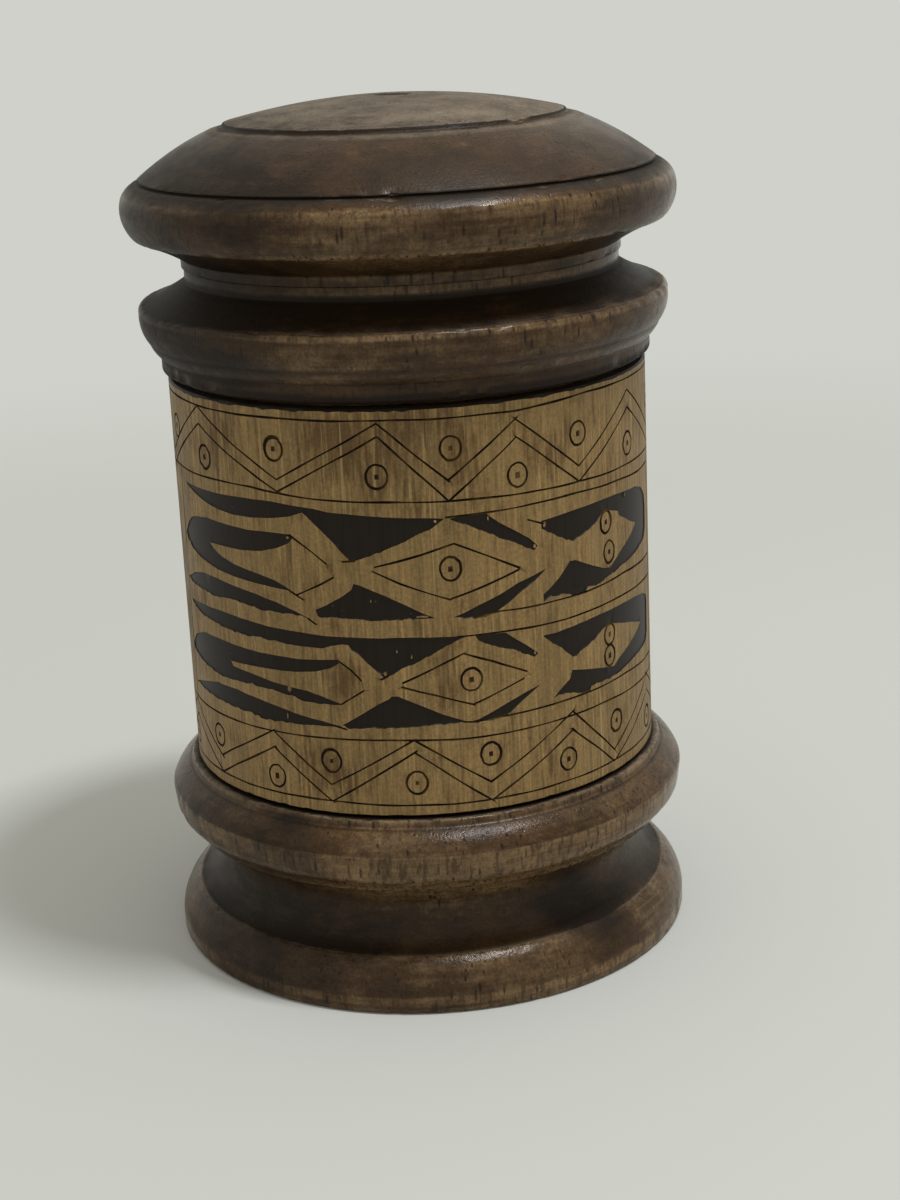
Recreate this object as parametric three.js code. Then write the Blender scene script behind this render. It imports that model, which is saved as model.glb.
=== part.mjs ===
// A turned wooden box: a length of bamboo culm stands on a turned foot, which plugs its lower end, and a
// turned lid drops into its mouth on a spigot.
// Millimetres, +Z up, the origin on the floor under the middle of the foot. Every piece is turned about Z.
// Each moulding of the foot and the lid is named. Its Out is how far its upper end stands out past the tube,
// less than nothing where that lies within the tube, and its Rise is how far it climbs.
import * as THREE from "three";

// The bamboo tube, which drives everything that meets it
const tubeRadius = 42;
const tubeWall = 6.5;
const tubeLength = 69.8;
const tubeEdgeBreak = 0.3; // the sawn ends, just broken with a knife

// The joints of the tube with the foot and with the lid
const glueLine = 0.3; // under the tube, and all round the foot's spigot
const footSpigotLength = 10;
const footSpigotChamfer = 1;
const lidClearance = 0.3; // all round the lid's spigot
const lidSeatGap = 0.3; // the lid's shoulder stands this far off the sawn rim
const lidSpigotLength = 9;
const lidSpigotChamfer = 0.8;
const lidSpigotWall = 5.6;

// The foot, from the floor up
const footDishInset = 4; // the underside is dished to this far inside the tube, and stands on its rim
const footDishDepth = 1.4;
const footRestOut = 4.2;
const footEdgeOut = 5.3;
const footEdgeRise = 0.9;
const footEdgeBulge = 0.3;
const footBandRise = 2.05;
const footSlopeOut = 1.7;
const footSlopeRise = 6.25;
const footSlopeBulge = 0.85;
const coveOut = 2.1;
const coveRise = 12.4;
const coveDepth = 5.2;
const beadUndersideOut = 3.7;
const beadUndersideRise = 2;
const beadRoundOut = 4.85;
const beadRoundRise = 2;
const beadRoundBulge = 0.25;
const beadBandOut = 5.2;
const beadBandRise = 3;
const shoulderRise = 3.95;
const shoulderBulge = 0.5;
const shoulderLedge = 0.4; // the shoulder's top edge stands this far out past the fillet above it
const shoulderEdgeRise = 0.25;
const footFilletOut = 1.3;
const footFilletRise = 1.2;
const filletEdgeBreak = 0.25;

// The lid, from its seat on the tube up
const undercutInset = 1.2; // outside this, the shoulder is undercut, so that it seats tight to the bore
const undercutRise = 1.2;
const lidFilletOut = 0.95;
const lidFilletRise = 2.4;
const lowerBeadOut = 3.7;
const lowerBeadRise = 8.8;
const lowerBeadBulge = 1.9;
const lidHollowRise = 3.8;
const lidHollowDepth = 0.4;
const neckOut = -4.1;
const neckRise = 2.3;
const neckFilletOut = -3.7;
const neckFilletRise = 1.7;
const upperUndersideOut = 4.2;
const upperUndersideRise = 3.8;
const upperUndersideHollow = 0.3;
const upperBeadOut = 6.05;
const upperBeadLowerRise = 4.3;
const upperBeadLowerBulge = 0.4;
const upperBeadUpperRise = 4.75;
const upperBeadUpperBulge = 1;
const rimLipOut = 3.3;
const rimGrooveOut = 2.3;
const rimGrooveRise = 0.15;
const domeEdgeOut = 2.75;
const domeEdgeRise = 0.35;
const domeRise = 7.5;
const domeBulge = 0.5;
const ledgeOut = -9.9;
const ledgeRise = 0.6;
const crownGrooveOut = -12.3;
const crownEdgeOut = -12.5;
const crownEdgeRise = 0.55;
const crownRise = 3.45;
const crownBulge = 0.7;
const centreMarkRadius = 3.5; // the hollow that the lathe's centre left in the crown
const centreMarkDepth = 0.6;
const bowlDepth = 20; // the bowl inside the lid, from the spigot's end

// How finely round things are faceted
const sides = 60;
const sweepSteps = 5;
const coveSteps = 9;
const beadSteps = 7;
const bowlSteps = 6;
const edgeSteps = 3;

// What follows from the sizes above
const boreRadius = tubeRadius - tubeWall;
const footSpigotRadius = boreRadius - glueLine;
const footDishRadius = tubeRadius - footDishInset;
const lidSpigotRadius = boreRadius - lidClearance;
const bowlRadius = lidSpigotRadius - lidSpigotWall;
const undercutRadius = tubeRadius - undercutInset;
const footRise = footEdgeRise + footBandRise + footSlopeRise + coveRise;
const footBeadRise = beadUndersideRise + beadRoundRise + beadBandRise + shoulderRise + shoulderEdgeRise;
const tubeBottom = footRise + footBeadRise + footFilletRise + glueLine;
const lidSeat = tubeBottom + tubeLength + lidSeatGap;

// The radius of a moulding that stands out past the tube
const past = (out) => tubeRadius + out;

// How far the arc of a round bowl, level in the middle, swells past the chord from its middle to its rim
function bowlBulge(radius, depth) {
  const arcRadius = (radius * radius + depth * depth) / (2 * depth);
  return arcRadius - Math.sqrt(arcRadius * arcRadius - (radius * radius + depth * depth) / 4);
}

// A turner's template, followed counterclockwise round the wood. Each straight run or round sweep goes on
// from the last, to a radius and by a rise. A positive bulge swells out of the wood and a negative one is
// hollow.
function template(radius, height) {
  const points = [new THREE.Vector2(radius, height)];
  const last = () => points[points.length - 1];
  const pen = {
    points,
    line(r, rise) {
      points.push(new THREE.Vector2(r, last().y + rise));
      return pen;
    },
    sweep(r, rise, bulge, steps = sweepSteps) {
      const start = last();
      const end = new THREE.Vector2(r, start.y + rise);
      const half = start.distanceTo(end) / 2;
      const arcRadius = (half * half + bulge * bulge) / (2 * Math.abs(bulge));
      const outward = new THREE.Vector2(end.y - start.y, start.x - end.x).setLength(Math.sign(bulge));
      const middle = start.clone().lerp(end, 0.5);
      const centre = middle.addScaledVector(outward, Math.abs(bulge) - arcRadius);
      const turn = 4 * Math.atan(bulge / half);
      for (let step = 1; step < steps; step++) {
        points.push(start.clone().rotateAround(centre, (turn * step) / steps));
      }
      points.push(end);
      return pen;
    },
  };
  return pen;
}

// Turns a template about Z
function turned(name, pen, material) {
  const geometry = new THREE.LatheGeometry(pen.points, sides);
  geometry.rotateX(Math.PI / 2);
  const mesh = new THREE.Mesh(geometry, material);
  mesh.name = name;
  return mesh;
}

// The foot: a dished underside, a rounded rim, a slope up to a sharp arris, a deep cove, a bead with a
// sloping shoulder, the fillet that the tube stands on, and the spigot that plugs the tube and is the floor
// of the box
function footTemplate() {
  return template(0, footDishDepth)
    .sweep(footDishRadius, -footDishDepth, -bowlBulge(footDishRadius, footDishDepth), edgeSteps)
    .line(past(footRestOut), 0)
    .sweep(past(footEdgeOut), footEdgeRise, footEdgeBulge, edgeSteps)
    .line(past(footEdgeOut), footBandRise)
    .sweep(past(footSlopeOut), footSlopeRise, footSlopeBulge)
    .sweep(past(coveOut), coveRise, -coveDepth, coveSteps)
    .line(past(beadUndersideOut), beadUndersideRise)
    .sweep(past(beadRoundOut), beadRoundRise, beadRoundBulge, edgeSteps)
    .line(past(beadBandOut), beadBandRise)
    .sweep(past(footFilletOut + shoulderLedge), shoulderRise, shoulderBulge)
    .line(past(footFilletOut), shoulderEdgeRise)
    .line(past(footFilletOut), footFilletRise - filletEdgeBreak)
    .line(past(footFilletOut - filletEdgeBreak), filletEdgeBreak)
    .line(footSpigotRadius, 0)
    .line(footSpigotRadius, footSpigotLength - footSpigotChamfer)
    .line(footSpigotRadius - footSpigotChamfer, footSpigotChamfer)
    .line(0, 0);
}

// The tube: a ring of bamboo with its sawn edges broken
function tubeTemplate() {
  return template(boreRadius, tubeBottom)
    .line(tubeRadius - tubeEdgeBreak, 0)
    .line(tubeRadius, tubeEdgeBreak)
    .line(tubeRadius, tubeLength - 2 * tubeEdgeBreak)
    .line(tubeRadius - tubeEdgeBreak, tubeEdgeBreak)
    .line(boreRadius + tubeEdgeBreak, 0)
    .line(boreRadius, -tubeEdgeBreak)
    .line(boreRadius, tubeEdgeBreak - tubeLength);
}

// The lid: a bowl hollowed into the spigot, an undercut shoulder, a fillet, a lower bead, a hollow up to the
// neck, a flared underside, an upper bead, a groove below the dome, and a crown that stands proud of a ledge
// and keeps the mark of the lathe's centre
function lidTemplate() {
  return template(0, lidSeat - lidSpigotLength + bowlDepth)
    .sweep(bowlRadius, -bowlDepth, -bowlBulge(bowlRadius, bowlDepth), bowlSteps)
    .line(lidSpigotRadius - lidSpigotChamfer, 0)
    .line(lidSpigotRadius, lidSpigotChamfer)
    .line(lidSpigotRadius, lidSpigotLength - lidSpigotChamfer)
    .line(undercutRadius, 0)
    .line(past(lidFilletOut), undercutRise)
    .line(past(lidFilletOut), lidFilletRise)
    .sweep(past(lowerBeadOut), lowerBeadRise, lowerBeadBulge, beadSteps)
    .sweep(past(neckOut), lidHollowRise, -lidHollowDepth)
    .line(past(neckOut), neckRise)
    .line(past(neckFilletOut), 0)
    .line(past(neckFilletOut), neckFilletRise)
    .sweep(past(upperUndersideOut), upperUndersideRise, -upperUndersideHollow, edgeSteps)
    .sweep(past(upperBeadOut), upperBeadLowerRise, upperBeadLowerBulge)
    .sweep(past(rimLipOut), upperBeadUpperRise, upperBeadUpperBulge)
    .line(past(rimGrooveOut), rimGrooveRise)
    .line(past(domeEdgeOut), domeEdgeRise)
    .sweep(past(ledgeOut), domeRise, domeBulge)
    .line(past(crownGrooveOut), ledgeRise)
    .line(past(crownEdgeOut), crownEdgeRise)
    .sweep(centreMarkRadius, crownRise, crownBulge, coveSteps)
    .line(0, -centreMarkDepth);
}

const darkWood = new THREE.MeshStandardMaterial({ color: 0x4a3a2c, roughness: 0.5, metalness: 0 });
const bamboo = new THREE.MeshStandardMaterial({ color: 0x8c7350, roughness: 0.55, metalness: 0 });

const box = new THREE.Group();
box.add(turned("foot", footTemplate(), darkWood));
box.add(turned("bamboo_tube", tubeTemplate(), bamboo));
box.add(turned("lid", lidTemplate(), darkWood));

export default box;
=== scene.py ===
"""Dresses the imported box: foot and lid turned in stained wood, an engraved bamboo tube, and a stage."""

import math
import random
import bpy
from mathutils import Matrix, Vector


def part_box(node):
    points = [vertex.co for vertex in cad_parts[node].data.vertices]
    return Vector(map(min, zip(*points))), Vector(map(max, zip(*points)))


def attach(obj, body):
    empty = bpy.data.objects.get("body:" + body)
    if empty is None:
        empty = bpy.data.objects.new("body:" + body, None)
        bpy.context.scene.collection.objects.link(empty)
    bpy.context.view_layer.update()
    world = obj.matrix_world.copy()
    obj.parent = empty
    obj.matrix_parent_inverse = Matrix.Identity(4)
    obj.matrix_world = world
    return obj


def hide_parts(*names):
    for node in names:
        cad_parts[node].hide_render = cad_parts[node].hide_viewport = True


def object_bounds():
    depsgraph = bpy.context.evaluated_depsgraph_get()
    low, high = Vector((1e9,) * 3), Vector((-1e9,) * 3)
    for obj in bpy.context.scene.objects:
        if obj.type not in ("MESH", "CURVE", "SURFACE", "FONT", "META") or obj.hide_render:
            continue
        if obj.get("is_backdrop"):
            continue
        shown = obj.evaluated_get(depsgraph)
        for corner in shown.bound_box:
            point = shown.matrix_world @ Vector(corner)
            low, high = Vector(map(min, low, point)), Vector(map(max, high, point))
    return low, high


bl_info = {
    "name": "Turned lidded box",
    "version": (1, 0, 0),
    "blender": (4, 5, 0),
    "location": "3D View > Sidebar > Turned box",
    "description": "Turned foot and lid, engraved bamboo tube, and a plain stage round the packed model",
    "category": "Object",
}

import bmesh
import bpy
import numpy as np
from bpy.props import FloatProperty, FloatVectorProperty, IntProperty, PointerProperty
from mathutils import Matrix, Vector, noise
from mathutils.geometry import delaunay_2d_cdt

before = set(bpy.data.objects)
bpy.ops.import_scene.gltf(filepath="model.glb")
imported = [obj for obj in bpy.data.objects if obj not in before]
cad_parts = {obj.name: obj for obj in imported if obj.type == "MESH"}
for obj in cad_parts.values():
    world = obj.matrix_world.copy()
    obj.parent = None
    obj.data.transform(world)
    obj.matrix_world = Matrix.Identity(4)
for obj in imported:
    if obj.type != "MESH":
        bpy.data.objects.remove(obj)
CAD_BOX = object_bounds()

MM = 0.001
TUBE_LOW, TUBE_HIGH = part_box("bamboo_tube")
LID_LOW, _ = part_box("lid")

# The tube, in millimetres
TUBE_RADIUS = TUBE_HIGH.x / MM
TUBE_BOTTOM = TUBE_LOW.z / MM
TUBE_TOP = TUBE_HIGH.z / MM
BORE_RADIUS = 35.5
EDGE_BREAK = 0.3
SPIGOT_CLEARANCE = 0.3
SPIGOT_RADIUS = BORE_RADIUS - SPIGOT_CLEARANCE
GIRTH = 2 * math.pi * TUBE_RADIUS

# The mouldings of the foot from the floor up: radius past the tube, rise and bulge, in millimetres, and how
# pale or dark the wood is painted, from 1, rubbed pale, to -1, dark with grime; this is partly the wear and
# grime that hands have left and partly painted light and shade; a pair gives its lower and its upper end
FOOT_MOULDINGS = (
    ("rounded rim", 5.3, 0.9, 0.3, 0),
    # The rim band and the slope are painted paler than their wear, as painted sheen where the lamp's gloss
    # falls
    ("rim band", 5.3, 2.05, 0, 0.85),
    ("slope", 1.7, 6.25, 0.85, (0.15, 0.25)),
    # The cove is painted paler towards its top, as painted light where the bead over it throws its shade
    ("cove", 2.1, 12.4, -5.2, (-0.25, 1.1)),
    ("underside of the bead", 3.7, 2.0, 0, 0.6),
    ("round of the bead", 4.85, 2.0, 0.25, 0.6),
    ("band of the bead", 5.2, 3.0, 0, (1, 0.8)),
    ("shoulder, lower part", 3.824, 2.307, 0.126, (-0.15, 0.15)),
    ("shoulder, upper part", 1.7, 1.643, 0.126, 0.22),
    ("edge of the shoulder", 1.3, 0.25, 0, 0.7),
    ("fillet", 1.3, 0.95, 0, 1),
    ("edge of the fillet", 1.05, 0.25, 0, 0.5),
)
FOOT_DISH_RADIUS = 38
FOOT_DISH_DEPTH = 1.4
FOOT_REST_OUT = 4.2
FOOT_SPIGOT_LENGTH = 10
FOOT_SPIGOT_CHAMFER = 1

# The mouldings of the lid from its seat up, in the same way
LID_MOULDINGS = (
    # The undercut is painted darkest: grime, and painted shade in the gap under the lid
    ("undercut", 0.95, 1.2, 0, -1),
    ("fillet, lower part", 0.95, 1.4, 0, (-0.1, 0.55)),
    ("fillet, upper part", 0.95, 1, 0, 0.45),
    ("lower bead, to its lower edge", 2.85, 2.5, 0.25, 0.1),
    ("lower bead, its face", 4.25, 4.9, 0.5, 0.1),
    ("lower bead, its upper edge", 3.7, 1.4, 0.25, (0.2, -0.2)),
    ("hollow over the bead", -1.917, 2.363, -0.196, -0.45),
    ("hollow up to the neck", -4.1, 1.437, -0.036, -0.5),
    ("neck", -4.1, 2.3, 0, 0.8),
    ("step of the neck", -3.7, 0, 0, 0),
    ("fillet of the neck", -3.7, 1.7, 0, (0.5, 0.8)),
    ("flared underside", 4.2, 3.8, -0.3, (0.3, 0.45)),
    ("lower side of the upper bead", 6.05, 4.3, 0.4, 0.25),
    ("face of the upper bead", 5.5, 2.9, 0.18, (0.1, 0.45)),
    ("upper side of the upper bead", 3.3, 1.85, 0.2, (0.1, -0.7)),
    ("groove under the dome", 2.3, 0.15, 0, -1),
    ("edge of the dome", 2.75, 0.35, 0, -0.9),
    ("dome", -9.9, 7.5, 0.5, (-0.25, 0)),
    ("ledge", -12.3, 0.6, 0, 0.3),
    ("edge of the crown", -12.5, 0.55, 0, -1),
)
LID_UNDERCUT_INSET = 1.2
LID_SPIGOT_LENGTH = 9
LID_SPIGOT_CHAMFER = 0.8
LID_BOWL_RADIUS = 29.6
LID_BOWL_DEPTH = 20
CROWN_RISE = 3.45
CROWN_BULGE = 0.7
CENTRE_MARK_RADIUS = 3.5
CENTRE_MARK_DEPTH = 0.6
LID_SEAT = LID_LOW.z / MM + LID_SPIGOT_LENGTH


def linear(hex_colour):
    """An sRGB hex colour as linear red, green, blue and alpha."""
    values = [int(hex_colour[i : i + 2], 16) / 255 for i in (1, 3, 5)]
    return tuple(v / 12.92 if v <= 0.04045 else ((v + 0.055) / 1.055) ** 2.4 for v in values) + (1.0,)


def add(tree, kind, settings=None, inputs=()):
    """Adds a node, sets its settings, and fills its inputs with values, sockets or other nodes.

    The inputs come by name or number, or in the node's own order.
    """
    node = tree.nodes.new(kind)
    for name, value in (settings or {}).items():
        setattr(node, name, value)
    for name, value in inputs.items() if isinstance(inputs, dict) else enumerate(inputs):
        if isinstance(value, bpy.types.Node):
            value = value.outputs[0]
        if isinstance(value, bpy.types.NodeSocket):
            tree.links.new(value, node.inputs[name])
        else:
            node.inputs[name].default_value = value
    return node


class Template:
    """A turner's template, followed counterclockwise round the wood, in millimetres of radius and height."""

    STEP = 0.55  # between points of a round sweep, and half of that between points of a straight run

    def __init__(self, radius, height):
        self.points = [Vector((radius, height))]
        self.wear = [0.0]

    def leave(self, wear, count):
        """Notes how worn the last points are, from the first to the last of them where a pair is given."""
        low, high = wear if isinstance(wear, tuple) else (wear, wear)
        self.wear += list(np.linspace(low, high, count))
        return self

    def line(self, radius, rise, wear=0):
        start = self.points[-1]
        end = Vector((radius, start.y + rise))
        count = max(1, round((end - start).length / (2 * self.STEP)))
        self.points += [start.lerp(end, k / count) for k in range(1, count + 1)]
        return self.leave(wear, count)

    def sweep(self, radius, rise, bulge, wear=0):
        start = self.points[-1]
        end = Vector((radius, start.y + rise))
        half = (end - start).length / 2
        arc_radius = (half * half + bulge * bulge) / (2 * abs(bulge))
        outward = Vector((end.y - start.y, start.x - end.x)).normalized() * math.copysign(1, bulge)
        centre = (start + end) / 2 + outward * (abs(bulge) - arc_radius)
        turn = 4 * math.atan(bulge / half)
        count = max(3, round(abs(turn) * arc_radius / self.STEP))
        for k in range(1, count):
            self.points.append(centre + Matrix.Rotation(turn * k / count, 2) @ (start - centre))
        self.points.append(end)
        return self.leave(wear, count)

    def mould(self, rows):
        for _, out, rise, bulge, wear in rows:
            if bulge:
                self.sweep(TUBE_RADIUS + out, rise, bulge, wear)
            else:
                self.line(TUBE_RADIUS + out, rise, wear)
        return self

    def wear_at(self, point):
        """The wear of the moulding that a point of the eased template lies on."""
        nearest = min(range(len(self.points)), key=lambda k: (self.points[k] - point).length_squared)
        return self.wear[nearest]


def bowl_bulge(radius, depth):
    """How far a round bowl, level in the middle, swells past the chord from its middle to its rim."""
    arc_radius = (radius * radius + depth * depth) / (2 * depth)
    return arc_radius - math.sqrt(arc_radius**2 - (radius * radius + depth * depth) / 4)


def foot_template():
    """The dished underside, the mouldings, and the spigot that plugs the tube."""
    return (
        Template(0, FOOT_DISH_DEPTH)
        .sweep(FOOT_DISH_RADIUS, -FOOT_DISH_DEPTH, -bowl_bulge(FOOT_DISH_RADIUS, FOOT_DISH_DEPTH))
        .line(TUBE_RADIUS + FOOT_REST_OUT, 0)
        .mould(FOOT_MOULDINGS)
        .line(SPIGOT_RADIUS, 0, wear=-1)
        .line(SPIGOT_RADIUS, FOOT_SPIGOT_LENGTH - FOOT_SPIGOT_CHAMFER)
        .line(SPIGOT_RADIUS - FOOT_SPIGOT_CHAMFER, FOOT_SPIGOT_CHAMFER)
        .line(0, 0)
    )


def lid_template():
    """The bowl in the spigot, the mouldings, and the crown with the mark of the lathe's centre."""
    return (
        Template(0, LID_LOW.z / MM + LID_BOWL_DEPTH)
        .sweep(LID_BOWL_RADIUS, -LID_BOWL_DEPTH, -bowl_bulge(LID_BOWL_RADIUS, LID_BOWL_DEPTH))
        .line(SPIGOT_RADIUS - LID_SPIGOT_CHAMFER, 0)
        .line(SPIGOT_RADIUS, LID_SPIGOT_CHAMFER)
        .line(SPIGOT_RADIUS, LID_SPIGOT_LENGTH - LID_SPIGOT_CHAMFER)
        .line(TUBE_RADIUS - LID_UNDERCUT_INSET, 0)
        .mould(LID_MOULDINGS)
        .sweep(CENTRE_MARK_RADIUS, CROWN_RISE, CROWN_BULGE)
        .line(0, -CENTRE_MARK_DEPTH, wear=-1)
    )


# An eased corner turns by more than this, in so many steps, and takes up less than half of a short run
EASED_FROM = math.radians(14)
EASE_STEPS = 4
EASE_SHARE = 0.45


def eased(points, reach):
    """Takes the sharpness off the template's corners with short arcs, which catch the light."""
    made = [points[0]]
    for before, corner, after in zip(points, points[1:], points[2:]):
        come, go = corner - before, after - corner
        if come.angle(go, 0) < EASED_FROM or corner.x < reach:
            made.append(corner)
            continue
        cut = min(reach, come.length * EASE_SHARE, go.length * EASE_SHARE)
        start, end = corner - come.normalized() * cut, corner + go.normalized() * cut
        for k in range(EASE_STEPS + 1):
            t = k / EASE_STEPS
            made.append(start * (1 - t) ** 2 + corner * (2 * t * (1 - t)) + end * t**2)
    made.append(points[-1])
    return made


def run_of(points):
    """The points of a template as an array, and how far along it each of them lies."""
    places = np.array([list(p) for p in points])
    return places, np.concatenate([[0], np.cumsum(np.linalg.norm(np.diff(places, axis=0), axis=1))])


def swell(points, reach):
    """How far each point of a template stands out from a chord that reaches as far either way along it."""
    places, along = run_of(points)
    ends = []
    for sign in (-1, 1):
        at = np.clip(along + sign * reach, 0, along[-1])
        ends.append(np.column_stack([np.interp(at, along, places[:, axis]) for axis in (0, 1)]))
    chord = ends[1] - ends[0]
    normal = np.column_stack([chord[:, 1], -chord[:, 0]])
    normal /= np.maximum(np.linalg.norm(normal, axis=1), 1e-9)[:, None]
    return ((places - (ends[0] + ends[1]) / 2) * normal).sum(axis=1)


def smoothed(points, values, reach):
    """The values at the points of a template, each softened by its neighbours within a reach along it."""
    _, along = run_of(points)
    weights = np.exp(-(((along[:, None] - along) / reach) ** 2)) * np.gradient(along)
    return weights @ np.array(values) / weights.sum(axis=1)


# What the turned wood's material reads at each point, and besides that where its arrises are
WOOD_ATTRIBUTES = ("worn", "hollow", "bare", "dry")
TURNED_ATTRIBUTES = (*WOOD_ATTRIBUTES, "arris")

# How a template's own shape wears it: swells come out paler, and hollows darker, partly as grime and partly
# as painted shade. Each row: the reach over which a swell is taken, the swell at which it is full, both in
# millimetres, and its share of the whole. Less than nothing lies back instead.
ARRIS = (0.9, 0.22, 0.6)
BROAD_SWELL = (4, 1.6, 0.2)
BROAD_HOLLOW = (6, -2.2, 0.15)
CORNER_HOLLOW = (0.6, -0.14, 0.65)
WEAR_REACH = 0.15  # how softly one moulding's wear runs into the next's
DRY_FROM, DRY_SPREAD = 0.93, 0.05  # how level the wood has to be to lie dry and faded


def template_mesh(name, template, ease, is_bare):
    """A chain of edges in the XZ plane, with how worn, hollow, bare and dry each point of the wood is."""
    points = eased(template.points, ease)
    mesh = bpy.data.meshes.new(name)
    edges = [(i, i + 1) for i in range(len(points) - 1)]
    mesh.from_pydata([(p.x * MM, 0, p.y * MM) for p in points], edges, [])
    arris, broad, bay, corner = (
        np.clip(swell(points, reach) / full, 0, 1)
        for reach, full, _ in (ARRIS, BROAD_SWELL, BROAD_HOLLOW, CORNER_HOLLOW)
    )
    wear = smoothed(points, [template.wear_at(p) for p in points], WEAR_REACH)
    # Negative wear and the hollows darken the wood, partly as grime and partly as painted shade; positive
    # wear pales it, partly as wear and partly as painted light
    rubbed, grime_and_shade = np.clip(wear, 0, 1), np.clip(-wear, 0, 1)
    worn = (arris * ARRIS[2] + broad * BROAD_SWELL[2]) * (1 - grime_and_shade) + rubbed
    hollow = (bay * BROAD_HOLLOW[2] + corner * CORNER_HOLLOW[2]) * (1 - rubbed) + grime_and_shade
    bare = [1.0 if is_bare(p) else 0.0 for p in points]
    along = np.gradient(np.array([list(p) for p in points]), axis=0)
    level = -along[:, 0] / np.linalg.norm(along, axis=1)
    dry = (level - DRY_FROM) / DRY_SPREAD
    for key, values in zip(TURNED_ATTRIBUTES, (worn, hollow, bare, dry, arris)):
        data = mesh.attributes.new(key, "FLOAT", "POINT").data
        data.foreach_set("value", np.clip(np.array(values, np.float32), 0, 1))
    return mesh


def group_socket(tree, name, kind, in_out="INPUT", default=None):
    """Adds a named socket to a node group and gives its identifier."""
    socket = tree.interface.new_socket(name=name, in_out=in_out, socket_type=kind)
    if default is not None:
        socket.default_value = default
    return socket.identifier


def lathe_tree():
    """Geometry Nodes that turn a template about Z, and carry what its points hold round with it."""
    tree = bpy.data.node_groups.new("turn_on_the_lathe", "GeometryNodeTree")
    names = {
        "template": group_socket(tree, "Template", "NodeSocketGeometry"),
        "steps": group_socket(tree, "Steps Round", "NodeSocketInt", default=240),
        "wood": group_socket(tree, "Wood", "NodeSocketMaterial"),
    }
    group_socket(tree, "Turned", "NodeSocketGeometry", "OUTPUT")
    template, steps, wood = add(tree, "NodeGroupInput").outputs[:3]
    size = add(tree, "GeometryNodeAttributeDomainSize", {"component": "MESH"}, (template,))
    columns = add(tree, "FunctionNodeIntegerMath", {"operation": "ADD"}, (steps, 1))
    counts = {"Vertices X": size.outputs["Point Count"], "Vertices Y": columns}
    grid = add(tree, "GeometryNodeMeshGrid", inputs=counts)
    index = add(tree, "GeometryNodeInputIndex")
    row = add(tree, "FunctionNodeIntegerMath", {"operation": "DIVIDE_FLOOR"}, (index, columns))
    column = add(tree, "FunctionNodeIntegerMath", {"operation": "MODULO"}, (index, columns))
    share = add(tree, "ShaderNodeMath", {"operation": "DIVIDE"}, (column, steps))
    angle = add(tree, "ShaderNodeMath", {"operation": "MULTIPLY"}, (share, 2 * math.pi))
    place = add(
        tree,
        "GeometryNodeSampleIndex",
        {"data_type": "FLOAT_VECTOR", "domain": "POINT"},
        {"Geometry": template, "Value": add(tree, "GeometryNodeInputPosition"), "Index": row},
    )
    about_z = {"rotation_type": "Z_AXIS"}
    turned = add(tree, "ShaderNodeVectorRotate", about_z, {"Vector": place, "Angle": angle})
    shape = add(tree, "GeometryNodeSetPosition", inputs={"Geometry": grid, "Position": turned})
    at_points = {"data_type": "FLOAT", "domain": "POINT"}
    for key in TURNED_ATTRIBUTES:
        read = add(tree, "GeometryNodeInputNamedAttribute", {"data_type": "FLOAT"}, {"Name": key})
        taken = {"Geometry": template, "Value": read, "Index": row}
        sample = add(tree, "GeometryNodeSampleIndex", at_points, taken)
        kept = {"Geometry": shape, "Name": key, "Value": sample}
        shape = add(tree, "GeometryNodeStoreNamedAttribute", at_points, kept)
    merged = add(tree, "GeometryNodeMergeByDistance", inputs={"Geometry": shape, "Distance": 0.002 * MM})
    smooth = add(tree, "GeometryNodeSetShadeSmooth", inputs={"Geometry": merged, "Shade Smooth": True})
    realized = add(tree, "GeometryNodeRealizeInstances", inputs={"Geometry": smooth})
    painted = add(tree, "GeometryNodeSetMaterial", inputs={"Geometry": realized, "Material": wood})
    add(tree, "NodeGroupOutput", inputs=(painted,))
    return tree, names


# What each face of the tube shows, by number
KINDS = ("skin", "scraped", "cut", "sawn", "bore")


def wrap_tree():
    """Geometry Nodes that wrap a flat sheet, drawn in millimetres round and up, about the culm."""
    tree = bpy.data.node_groups.new("wrap_round_the_culm", "GeometryNodeTree")
    names = {
        "sheet": group_socket(tree, "Sheet", "NodeSocketGeometry"),
        "radius": group_socket(tree, "Radius", "NodeSocketFloat", default=TUBE_RADIUS * MM),
        **{kind: group_socket(tree, kind.title(), "NodeSocketMaterial") for kind in KINDS[:3]},
    }
    group_socket(tree, "Wrapped", "NodeSocketGeometry", "OUTPUT")
    sheet, radius, *finishes = add(tree, "NodeGroupInput").outputs[:5]
    flat = add(tree, "ShaderNodeSeparateXYZ", inputs=(add(tree, "GeometryNodeInputPosition"),))
    angle = add(tree, "ShaderNodeMath", {"operation": "DIVIDE"}, (flat.outputs[0], radius))
    out = add(tree, "ShaderNodeMath", {"operation": "ADD"}, (radius, flat.outputs[2]))
    straight = add(tree, "ShaderNodeCombineXYZ", inputs={1: out, 2: flat.outputs[1]})
    front = add(tree, "ShaderNodeVectorMath", {"operation": "MULTIPLY"}, (straight, (1, -1, 1)))
    about_z = {"rotation_type": "Z_AXIS"}
    wrapped = add(tree, "ShaderNodeVectorRotate", about_z, {"Vector": front, "Angle": angle})
    shape = add(tree, "GeometryNodeSetPosition", inputs={"Geometry": sheet, "Position": wrapped})
    merged = add(tree, "GeometryNodeMergeByDistance", inputs={"Geometry": shape, "Distance": 0.004 * MM})
    painted = add(tree, "GeometryNodeRealizeInstances", inputs={"Geometry": merged})
    kind = add(tree, "GeometryNodeInputNamedAttribute", {"data_type": "INT"}, {"Name": "kind"})
    equal = {"data_type": "INT", "operation": "EQUAL"}
    for number, finish in enumerate(finishes):
        chosen = add(tree, "FunctionNodeCompare", equal, {"A": kind.outputs[0], "B": number})
        given = {"Geometry": painted, "Selection": chosen, "Material": finish}
        painted = add(tree, "GeometryNodeSetMaterial", inputs=given)
    add(tree, "NodeGroupOutput", inputs=(painted,))
    return tree, names


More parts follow.
